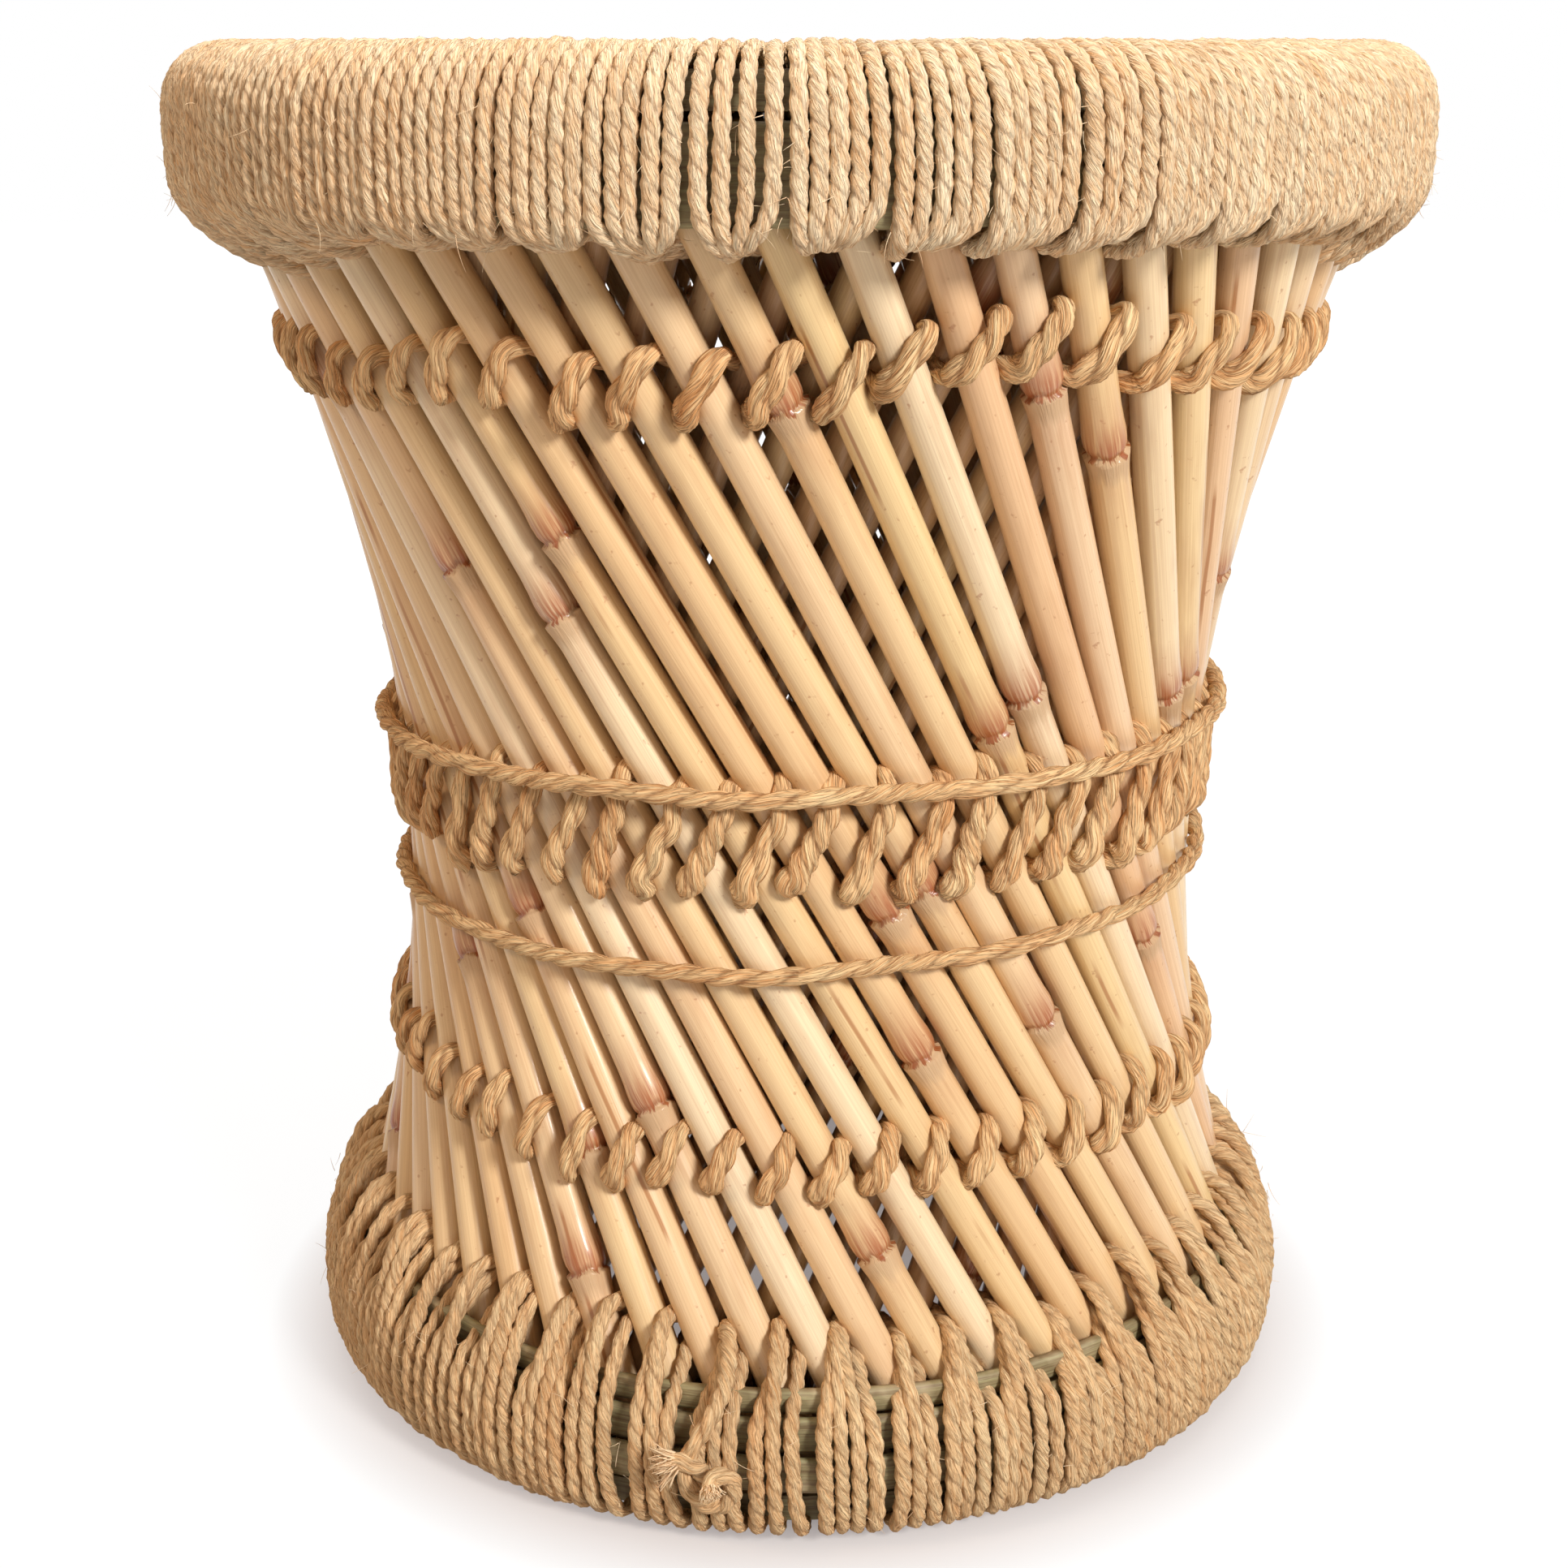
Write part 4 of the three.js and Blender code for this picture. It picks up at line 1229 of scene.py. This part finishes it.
# A waist stitch crosses two canes, and its upper end passes under the upper band
WAIST_STITCH = [
    [-0.50, -6.0, -15.0, 0.85], [-0.54, 2.4, -17.2, 1.1], [-0.44, 7.2, -15.8, 1.15],
    [-0.20, 9.0, -11.4, 1.08], [0.16, 9.2, -5.4, 0.98], [0.56, 8.8, 1.0, 0.9],
    [0.96, 8.8, 7.4, 0.86], [1.26, 7.4, 13.0, 0.8], [1.48, 3.0, 18.6, 0.8],
    [1.50, -6.0, 17.0, 0.8], [1.05, -14.0, 2.0, 0.9],
]
# How far the rows and the bands lie above their middles, as [azimuth, rise] in degrees and
# millimetres
UPPER_ROW_RISE = [
    [-62, -2], [-50, -4], [-37, 4], [-22, 0], [-8, 1], [5, 3], [12, 9], [18, 13], [25, 12],
    [33, 9], [45, 5], [64, 2], [110, -2], [180, 2], [240, -1],
]
LOWER_ROW_RISE = [[-66, 7], [-50, 3], [-30, 0], [10, 1], [45, 0], [120, -1], [200, 2]]
UPPER_BAND_RISE = [[-90, -6], [-45, -2], [0, 2.2], [45, 0.4], [90, 0], [180, -2]]
LOWER_BAND_RISE = [
    [-90, -5], [-45, -3.5], [0, 0], [45, 3.5], [90, 5], [135, 3.5], [180, 0], [225, -3.5],
]
UPPER_ROW = 361 * MM
LOWER_ROW = 117 * MM
WAIST_ROW = 222.3 * MM
UPPER_BAND = 238.7 * MM
LOWER_BAND = 182.3 * MM
TWINE_SIDES = 16
TWINE_STEP = 1.7 * MM
BAND_STEP = 1.6 * MM
# The upper band stands off the canes by the stitches under it; the lower one is pulled tight
UPPER_BAND_GAP = 1.9 * MM
LOWER_BAND_GAP = -0.1 * MM
# How far a band sinks between two canes
BAND_SINK = 0.35 * MM
# How much stitches differ: height and thickness as shares, and their points upward and outward
# in millimetres and along the row in pitches
STITCH_TALL = (0.88, 1.14)
STITCH_THICK = (0.92, 1.08)
STITCH_STRAY = (0.3, 0.15, 0.008)
STITCH_DEPTH = 0.42
STITCH_FLAT = 0.76
# Further than this inside the canes' middles, the twine's flat side is turned over, and it turns
# within so many points
TURNED_INSIDE = 4 * MM
TURNING_POINTS = 9


def rise_at(table, azimuth):
    """Height above a row's middle at an azimuth, in metres: straight lines between the table's
    places, which go on round the stool."""
    places, rises = np.array(table).T
    return np.interp(np.degrees(azimuth), places, rises, period=360) * MM


def stitch_row(table, rises, height, radius, wander, rng):
    """A lashing round the stool: the stitch's table is repeated for every outer cane, each point
    at the cane's own azimuth at that height plus its share of the pitch, and one smooth curve
    runs through all of them. Stitches differ a little in height, by `wander` millimetres, and in
    length and slant. The twine's flat side turns over where it passes behind the canes."""
    stitch = np.array(table)
    azimuths = cane_azimuths(0.0)[:, None]
    level = height + rise_at(rises, azimuths + OUTER.turn(height))
    shift = wander * rng.normal(0, 1, (CANES, 1))
    tall = rng.uniform(*STITCH_TALL, (CANES, 1))
    up, out, slide = (rng.normal(0, stray, (CANES, len(stitch))) for stray in STITCH_STRAY)
    z = level + (stitch[None, :, 2] * tall + shift + up) * MM
    out = stitch[None, :, 1] * MM + out * MM
    slide = stitch[None, :, 0] + slide
    azimuth = azimuths + OUTER.turn(z) + slide * PITCH
    points = polar(OUTER.radius(z) + out, azimuth, z)
    thick = stitch[None, :, 3:4] * rng.uniform(*STITCH_THICK, (CANES, 1, 1))
    curve = catmull_rom(np.concatenate([points, thick], -1).reshape(-1, 4), 10)
    length = np.sum(np.linalg.norm(np.diff(curve[:, :3], axis=0), axis=1))
    curve = even_steps(curve, int(length / TWINE_STEP), closed=True)
    path, swell = curve[:, :3], curve[:, 3]
    tone = np.interp(np.arange(len(path)), np.linspace(0, len(path), 160), rng.uniform(0, 1, 160))
    reach = np.linalg.norm(path[:, :2], axis=1) - OUTER.radius(path[:, 2])
    side = np.where(reach > -TURNED_INSIDE, 1.0, -1.0)
    ends = TURNING_POINTS // 2
    side = np.concatenate([side[-ends:], side, side[:ends]])
    side = np.convolve(side, np.ones(TURNING_POINTS) / TURNING_POINTS, "valid")
    outward = unit(path * [1, 1, 0]) * side[:, None] + [0, 0, 0.35]
    return laid_rope(
        path, outward, radius, sizes().twine_lay, TWINE_SIDES, depth=STITCH_DEPTH, swell=swell,
        closed=True, flat=STITCH_FLAT, tone=tone[None, :, None],
    )


class MUDDA_OT_lashings(bpy.types.Operator):
    """Tie the plain lashings above and below the waist"""

    bl_idname = "mudda.lashings"
    bl_label = "Lashings"

    def execute(self, context):
        rows = [
            ("upper_lashing", "upper_stitches", UPPER_ROW_RISE, UPPER_ROW),
            ("lower_lashing", "lower_stitches", LOWER_ROW_RISE, LOWER_ROW),
        ]
        radius = sizes().lashing
        for node, name, rises, height in rows:
            part = stitch_row(LASHING_STITCH, rises, height, radius, 1.0, draws(name))
            make_piece(name, [part], finish("lashing_twine"), [node])
        return {"FINISHED"}


def band_surface(height, rises, radius, gap, rng):
    """A closed band. Its radius is that of the canes' middles at its height, plus the cane, the
    `gap` and the band's own radius, and sinks between the canes by a cosine. Its height wanders
    by slow waves."""
    s = sizes()
    proud = s.outer_cane + radius + gap
    count = int(TURN * (OUTER.radius(height) + 2 * radius) / BAND_STEP)
    azimuth = TURN * np.arange(count) / count
    waves = slow_waves(azimuth, (2, 3, 5, 8, 13), (0.2, 0.6), rng)
    z = height + rise_at(rises, azimuth) + waves
    sink = BAND_SINK * np.cos(CANES * (azimuth - OUTER.turn(z) - PITCH))
    path = polar(OUTER.radius(z) + proud + sink, azimuth, z)
    tone = np.interp(azimuth, np.linspace(0, TURN, 60), rng.uniform(0.3, 1, 60))
    outward = unit(path * [1, 1, 0])
    tone = tone[None, :, None]
    return laid_rope(path, outward, radius, s.twine_lay, TWINE_SIDES, closed=True, tone=tone)


class MUDDA_OT_waist(bpy.types.Operator):
    """Tie the waist stitches and draw the two bands round them"""

    bl_idname = "mudda.waist"
    bl_label = "Waist"

    def execute(self, context):
        s = sizes()
        twine = finish("lashing_twine")
        stitches = stitch_row(
            WAIST_STITCH, UPPER_BAND_RISE, WAIST_ROW, s.stitch, 0.8, draws("waist_stitches")
        )
        make_piece("waist_stitches", [stitches], twine, ["waist_lashing"])
        bands = [
            ("upper_waist_cord", "waist_band_upper", UPPER_BAND, UPPER_BAND_RISE, s.upper_band,
             UPPER_BAND_GAP),
            ("lower_waist_cord", "waist_band_lower", LOWER_BAND, LOWER_BAND_RISE, s.lower_band,
             LOWER_BAND_GAP),
        ]
        for name, node, height, rises, radius, gap in bands:
            band = band_surface(height, rises, radius, gap, draws(name))
            make_piece(name, [band], twine, [node])
        return {"FINISHED"}


# Seat

SEAT_EDGE = 154 * MM
SEAT_TOP = 431.5 * MM
SEAT_SAG = 3 * MM
SEAT_BORDER_RADIUS = 152.6 * MM
SEAT_BORDER_RISE = 0.2 * MM
SEAT_BORDER_STEPS = 520
SEAT_STEP = 2.2 * MM
# Spacing of the ropes, depth of the mat's middle under the top, and height of the weave's swing,
# in radii of the rope
SEAT_SPACING = 2.08
MAT_DEPTH = 1.5
WEAVE_SWING = 0.5


def seat_surfaces(rng):
    """Two sets of ropes at right angles, woven over and under: along a rope the height swings by a
    cosine, once in two spacings, and neighbours swing in turn. The mat sags as a paraboloid, and
    a rope round its edge closes it."""
    s = sizes()
    spacing = SEAT_SPACING * s.seat_rope
    most = math.floor(SEAT_EDGE / spacing)
    rows = np.arange(-most, most + 1)
    parts = []
    for axis in (0, 1):
        for row in rows:
            offset = row * spacing
            half = math.sqrt(max(SEAT_EDGE**2 - offset**2, 0))
            if half < 4 * spacing:
                continue
            count = int(2 * half / SEAT_STEP)
            along = np.linspace(-half, half, count)
            swing = np.cos(np.pi * along / spacing + np.pi * (row + axis))
            across = offset + rng.normal(0, 0.1) * MM
            outside = (along**2 + across**2) / SEAT_EDGE**2
            z = SEAT_TOP - MAT_DEPTH * s.seat_rope - SEAT_SAG * (1 - outside)
            z = z + swing * s.seat_rope * WEAVE_SWING
            plan = [along, np.full(count, across)]
            path = np.stack([*(plan if axis == 0 else plan[::-1]), z], -1)
            tone = np.full((1, count, 1), rng.uniform(0.2, 0.9))
            phase = rng.uniform(0, TURN)
            up = np.broadcast_to([0.0, 0.0, 1.0], path.shape)
            parts.append(
                laid_rope(path, up, s.seat_rope, s.rope_lay, 8, swell=0.93, phase=phase, tone=tone)
            )
    azimuth = TURN * np.arange(SEAT_BORDER_STEPS) / SEAT_BORDER_STEPS
    border = polar(SEAT_BORDER_RADIUS, azimuth, SEAT_TOP + SEAT_BORDER_RISE)
    outward = unit(border * [1, 1, 0])
    tone = np.full((1, SEAT_BORDER_STEPS, 1), 0.5)
    parts.append(
        laid_rope(border, outward, s.seat_rope, s.rope_lay, 10, closed=True, tone=tone)
    )
    return parts


class MUDDA_OT_seat(bpy.types.Operator):
    """Weave the seat"""

    bl_idname = "mudda.seat"
    bl_label = "Seat"

    def execute(self, context):
        parts = seat_surfaces(draws("seat"))
        make_piece("woven_seat", parts, finish("seat_cord"), ["seat_web"])
        return {"FINISHED"}


# Knot and loose fibres

# Route of the tied end as [across, radius, height] in millimetres, from its gap to its cut end
KNOT_ROUTE = [
    [-23.3, 150, 65], [-22.6, 157, 66.6], [-22, 163.4, 63.6], [-22.8, 169.4, 57.6],
    [-25.4, 173.6, 51.6], [-29.2, 176.4, 45.4], [-33.2, 178.4, 38.8], [-35.6, 179.6, 31.8],
    [-34.2, 180, 25.4], [-29.4, 180, 20.8], [-23.7, 180.2, 21.2], [-20.2, 181, 26.8],
    [-21.6, 182.6, 32.8], [-25.8, 184.4, 33.6], [-27.6, 186.6, 31.2], [-27.2, 188.4, 30.2],
]
# The other end, which comes out of the knot
TAIL_ROUTE = [[-29, 179, 30], [-33, 180.4, 34.2], [-36.6, 181.4, 35.8], [-39.6, 181.8, 35.2]]
# Each end of the knot as its route, points on it, and the spread and length of its fray
KNOT_ENDS = [(KNOT_ROUTE, 90, 0.45, 3.5 * MM), (TAIL_ROUTE, 14, 0.8, 9 * MM)]
FRAY_FIBRES = 160
FRAY_THICKNESS = 0.34 * MM
# Spread of the roots over the cut face, in radii of the rope, and how deep they sit in it
FRAY_ROOTS = 0.45
FRAY_ROOT_DEPTH = 2 * MM
KNOT_THICKNESS = 1.08
LOOSE_THICKNESS = 0.13 * MM
FIBRE_CURL = 0.3
FIBRE_RINGS = 6
# Loose fibres as piece, number, and lowest and highest radius and height of their roots in
# millimetres
FIBRE_PLACES = [
    ("rim_fibres", 800, (200.5, 203.3), (400, 438)),
    ("base_fibres", 400, (174, 177.5), (14, 50)),
]
# Below this level the rim's rope curves in, and its fibres' roots with it
RIM_CURVE = 404 * MM
RIM_CURVE_SHARE = 0.955


def route_path(route, count):
    """A smooth open line through [across, radius, height] points, each on its radius."""
    table = np.array(route) * MM
    azimuth = np.arcsin(table[:, 0] / table[:, 1])
    points = polar(table[:, 1], azimuth, table[:, 2])
    padded = np.concatenate([points, points[-1:], points[:1]])
    curve = catmull_rom(padded, 12)[: (len(points) - 1) * 12 + 1]
    return even_steps(curve, count, closed=False)


def fibre_surfaces(roots, directions, lengths, thickness, rng):
    """Loose fibres as thin three-sided tubes: each leaves its root along its direction, bends
    towards its own random side with the square of the way along, and tapers to less than a third."""
    count, rings = len(roots), FIBRE_RINGS
    t = np.linspace(0, 1, rings)[None, :, None]
    side = unit(np.cross(directions, rng.normal(0, 1, (count, 3))))
    length = lengths[:, None, None]
    straight = roots[:, None] + directions[:, None] * length * t
    line = straight + side[:, None] * length * FIBRE_CURL * t**2
    radii = thickness * (1 - 0.7 * t) * np.ones((count, rings, 3))
    angles = np.broadcast_to(TURN * np.arange(3) / 3, radii.shape)
    hint = np.broadcast_to(side[:, None], line.shape) + 0.01 * np.array([0.3, 0.2, 1.0])
    tone = rng.uniform(0.4, 1, (count, 1, 1))
    return tube(line, np.cross(hint, line[:, 1:2] - line[:, :1]), radii, angles, tone=tone)


def brush(tip, direction, spread, length, rng):
    """The frayed end of a rope: fibres rooted at normally spread places of its cut face, each
    fanning out by its own distance from the middle times the spread."""
    count = FRAY_FIBRES
    direction = unit(direction)
    around = unit(np.cross(direction, [0, 0, 1]))
    upward = np.cross(around, direction)
    disc = rng.normal(0, 1, (count, 2)) * FRAY_ROOTS
    disc = disc / np.maximum(1, np.linalg.norm(disc, axis=1, keepdims=True))
    sideways = disc[:, :1] * around + disc[:, 1:] * upward
    roots = tip + sideways * sizes().base_rope * 0.95 - direction * FRAY_ROOT_DEPTH
    directions = unit(direction + sideways * spread)
    lengths = rng.uniform(0.5, 1, count) * length
    return fibre_surfaces(roots, directions, lengths, FRAY_THICKNESS, rng)


class MUDDA_OT_base_knot(bpy.types.Operator):
    """Tie off the base rope at the front, with its two frayed ends"""

    bl_idname = "mudda.base_knot"
    bl_label = "Base Knot"

    def execute(self, context):
        rng = draws("base_knot")
        s = sizes()
        parts, frays = [], []
        for route, count, spread, length in KNOT_ENDS:
            path = route_path(route, count)
            outward = unit(path * [1, 1, 0])
            tone = np.full((1, count, 1), 0.6)
            radius = s.base_rope * KNOT_THICKNESS
            parts.append(laid_rope(path, outward, radius, s.rope_lay, 12, tone=tone))
            direction = unit(path[-1] - path[-3]) + 0.15 * outward[-1]
            frays.append(brush(path[-1], direction, spread, length, rng))
        make_piece("base_rope_end", parts, finish("base_cord"), ["base_rope_knot"])
        make_piece("base_rope_fray", frays, finish("loose_fibre"))
        return {"FINISHED"}


class MUDDA_OT_loose_fibres(bpy.types.Operator):
    """Let loose fibres stand off the ropes at the rim and at the foot"""

    bl_idname = "mudda.loose_fibres"
    bl_label = "Loose Fibres"

    def execute(self, context):
        rng = draws("loose_fibres")
        for name, count, radius, height in FIBRE_PLACES:
            azimuth = rng.uniform(0, TURN, count)
            level = rng.uniform(*height, count) * MM
            roots = polar(rng.uniform(*radius, count) * MM, azimuth, level)
            if name == "rim_fibres":
                roots[level < RIM_CURVE] *= [RIM_CURVE_SHARE, RIM_CURVE_SHARE, 1]
            radial = unit(roots * [1, 1, 0])
            tangent = np.cross([0, 0, 1], radial)
            directions = unit(
                radial * rng.uniform(0.02, 0.3, (count, 1))
                + tangent * rng.normal(0, 1, (count, 1))
                + np.array([0, 0, 1]) * rng.normal(-0.2, 0.8, (count, 1))
            )
            lengths = sizes().fibre * rng.uniform(0.3, 1.25, count)
            roots = roots - radial * 0.8 * MM
            part = fibre_surfaces(roots, directions, lengths, LOOSE_THICKNESS, rng)
            make_piece(name, [part], finish("loose_fibre"))
        return {"FINISHED"}


# Stage

CAMERA_DISTANCE = 792 * MM
CAMERA_HEIGHT = 450 * MM
CAMERA_PITCH = math.radians(17.65)
# Side of the photograph, focal length and the stool's axis in it, in pixels
IMAGE_SIDE = 1932
FOCAL_PIXELS = 2849
AXIS_PIXEL = 986
SENSOR = 36.0
# Lamps as name, place in metres, diameter in metres, power in watts and colour
LAMPS = [
    ("key", (1.35, -1.85, 1.6), 0.62, 66, (1.0, 0.98, 0.96)),
    ("fill", (-2.0, -1.0, 1.9), 0.7, 20, (1.0, 0.72, 0.50)),
    ("top", (0.1, 0.3, 2.4), 1.6, 33, (1.0, 1.0, 1.0)),
]
LAMP_TARGET = Vector((0, 0, 0.22))
WORLD_TINT = (1.0, 0.83, 0.64)
WORLD_STRENGTH = 0.24
WHITE = (1.0, 1.0, 1.0)
FLOOR_RADIUS = 6.0
FLOOR_SIDES = 96
FLOOR_GLOW = 1.1
# Tint of the floor's glow inside the foot: painted light that lifts the real shade there and tints it
# mauve
INSIDE_TINT = (1.0, 0.90, 0.88)
# Distances from the axis from which to which the floor turns from shaded to pale, inside and
# round the foot, and then from pale to white
FOOT_ZONE = (155 * MM, 200 * MM)
FAR_ZONE = (0.4, 1.2)


def add_camera(scene):
    """The camera at the photograph's angle, moved sideways so that the axis falls where it does."""
    data = bpy.data.cameras.new("camera")
    data.sensor_width = SENSOR
    data.lens = FOCAL_PIXELS / IMAGE_SIDE * SENSOR
    data.shift_x = (IMAGE_SIDE / 2 - AXIS_PIXEL) / IMAGE_SIDE
    data.clip_start = 0.01
    camera = bpy.data.objects.new("camera", data)
    camera.location = (0, -CAMERA_DISTANCE, CAMERA_HEIGHT)
    camera.rotation_euler = (math.pi / 2 - CAMERA_PITCH, 0, 0)
    scene.collection.objects.link(camera)
    scene.camera = camera


def add_lamp(scene, name, place, size, power, colour):
    """A round soft lamp that faces the middle of the stool."""
    data = bpy.data.lights.new(name, "AREA")
    data.shape = "DISK"
    data.size = size
    data.energy = power
    data.color = colour
    lamp = bpy.data.objects.new(name, data)
    lamp.location = place
    aim = LAMP_TARGET - Vector(place)
    lamp.rotation_euler = aim.to_track_quat("-Z", "Y").to_euler()
    scene.collection.objects.link(lamp)


def seen_directly(tree):
    """1 for what the camera sees straight, in gloss or through glass, and 0 for light on it."""
    path = tree.node("ShaderNodeLightPath").outputs
    return tree.largest(
        path["Is Camera Ray"], path["Is Transmission Ray"], path["Is Glossy Ray"]
    )


def add_world(scene):
    """Soft even light, and plain white where the camera, glass or gloss looks past the floor."""
    world = bpy.data.worlds.new("studio")
    world.use_nodes = True
    tree = Tree(world.node_tree)
    world.node_tree.nodes.clear()
    seen = seen_directly(tree)
    dim = tree.node("ShaderNodeBackground", {0: WORLD_TINT, 1: WORLD_STRENGTH}).outputs[0]
    white = tree.node("ShaderNodeBackground", {0: WHITE, 1: 1.0}).outputs[0]
    mixed = tree.node("ShaderNodeMixShader", {0: seen, 1: dim, 2: white}).outputs[0]
    tree.node("ShaderNodeOutputWorld", {0: mixed})
    scene.world = world


def add_floor(scene):
    """A wide disc of pale floor that meets the white background. What the camera sees of it glows
    more and more white away from the stool, so it keeps its shadow and its shade inside."""
    azimuth = TURN * np.arange(FLOOR_SIDES) / FLOOR_SIDES
    points = np.concatenate([polar(FLOOR_RADIUS, azimuth, 0.0), [[0, 0, 0]]])
    faces = [(FLOOR_SIDES, k, (k + 1) % FLOOR_SIDES) for k in range(FLOOR_SIDES)]
    mesh = bpy.data.meshes.new("floor")
    mesh.from_pydata(points.tolist(), [], faces)
    material, tree, shader = new_material("floor", colours().floor)
    tree.put(shader["Base Color"], colours().floor)
    shader["Roughness"].default_value = 0.9
    shader["Specular IOR Level"].default_value = 0.1
    place = {0: tree.object_place()}
    away = tree.node("ShaderNodeVectorMath", place, operation="LENGTH").outputs["Value"]
    pale = tree.plus(
        tree.remap(away, *FOOT_ZONE, 0.26, 0.86), tree.remap(away, *FAR_ZONE, 0.0, 0.14)
    )
    tint = tree.mix(tree.remap(away, *FOOT_ZONE), INSIDE_TINT, WHITE)
    white = tree.node("ShaderNodeEmission", {0: tint, 1: FLOOR_GLOW}).outputs[0]
    share = tree.times(seen_directly(tree), pale)
    nodes = material.node_tree.nodes
    lit = nodes["Principled BSDF"].outputs[0]
    mixed = tree.node("ShaderNodeMixShader", {0: share, 1: lit, 2: white}).outputs[0]
    tree.put(nodes["Material Output"].inputs["Surface"], mixed)
    mesh.materials.append(material)
    floor = bpy.data.objects.new("floor", mesh)
    scene.collection.objects.link(floor)


class MUDDA_OT_stage(bpy.types.Operator):
    """Set up the floor, the light and the camera"""

    bl_idname = "mudda.stage"
    bl_label = "Stage"

    def execute(self, context):
        scene = context.scene
        add_camera(scene)
        add_world(scene)
        add_floor(scene)
        for lamp in LAMPS:
            add_lamp(scene, *lamp)
        scene.view_settings.view_transform = "Standard"
        return {"FINISHED"}


# Panel and registration

OPERATORS = [
    MUDDA_OT_outer_canes,
    MUDDA_OT_inner_canes,
    MUDDA_OT_split_hoops,
    MUDDA_OT_rim_rope,
    MUDDA_OT_base_rope,
    MUDDA_OT_base_knot,
    MUDDA_OT_lashings,
    MUDDA_OT_waist,
    MUDDA_OT_seat,
    MUDDA_OT_loose_fibres,
    MUDDA_OT_stage,
]


class MUDDA_PT_panel(bpy.types.Panel):
    """Builds the stool piece by piece"""

    bl_label = "Mudda Stool"
    bl_idname = "MUDDA_PT_panel"
    bl_space_type = "VIEW_3D"
    bl_region_type = "UI"
    bl_category = "Mudda Stool"

    def draw(self, context):
        for operator in OPERATORS:
            self.layout.operator(operator.bl_idname)
        for group in (context.scene.mudda_sizes, context.scene.mudda_colours):
            box = self.layout.box()
            for name in group.__annotations__:
                box.prop(group, name)


CLASSES = [StoolSizes, StoolColours, *OPERATORS, MUDDA_PT_panel]


def register():
    for cls in CLASSES:
        bpy.utils.register_class(cls)
    bpy.types.Scene.mudda_sizes = PointerProperty(type=StoolSizes)
    bpy.types.Scene.mudda_colours = PointerProperty(type=StoolColours)


def unregister():
    del bpy.types.Scene.mudda_colours
    del bpy.types.Scene.mudda_sizes
    for cls in reversed(CLASSES):
        bpy.utils.unregister_class(cls)


def main():
    """Builds every piece and the stage."""
    register()
    for operator in OPERATORS:
        group, name = operator.bl_idname.split(".")
        getattr(getattr(bpy.ops, group), name)()


if __name__ == "__main__":
    main()
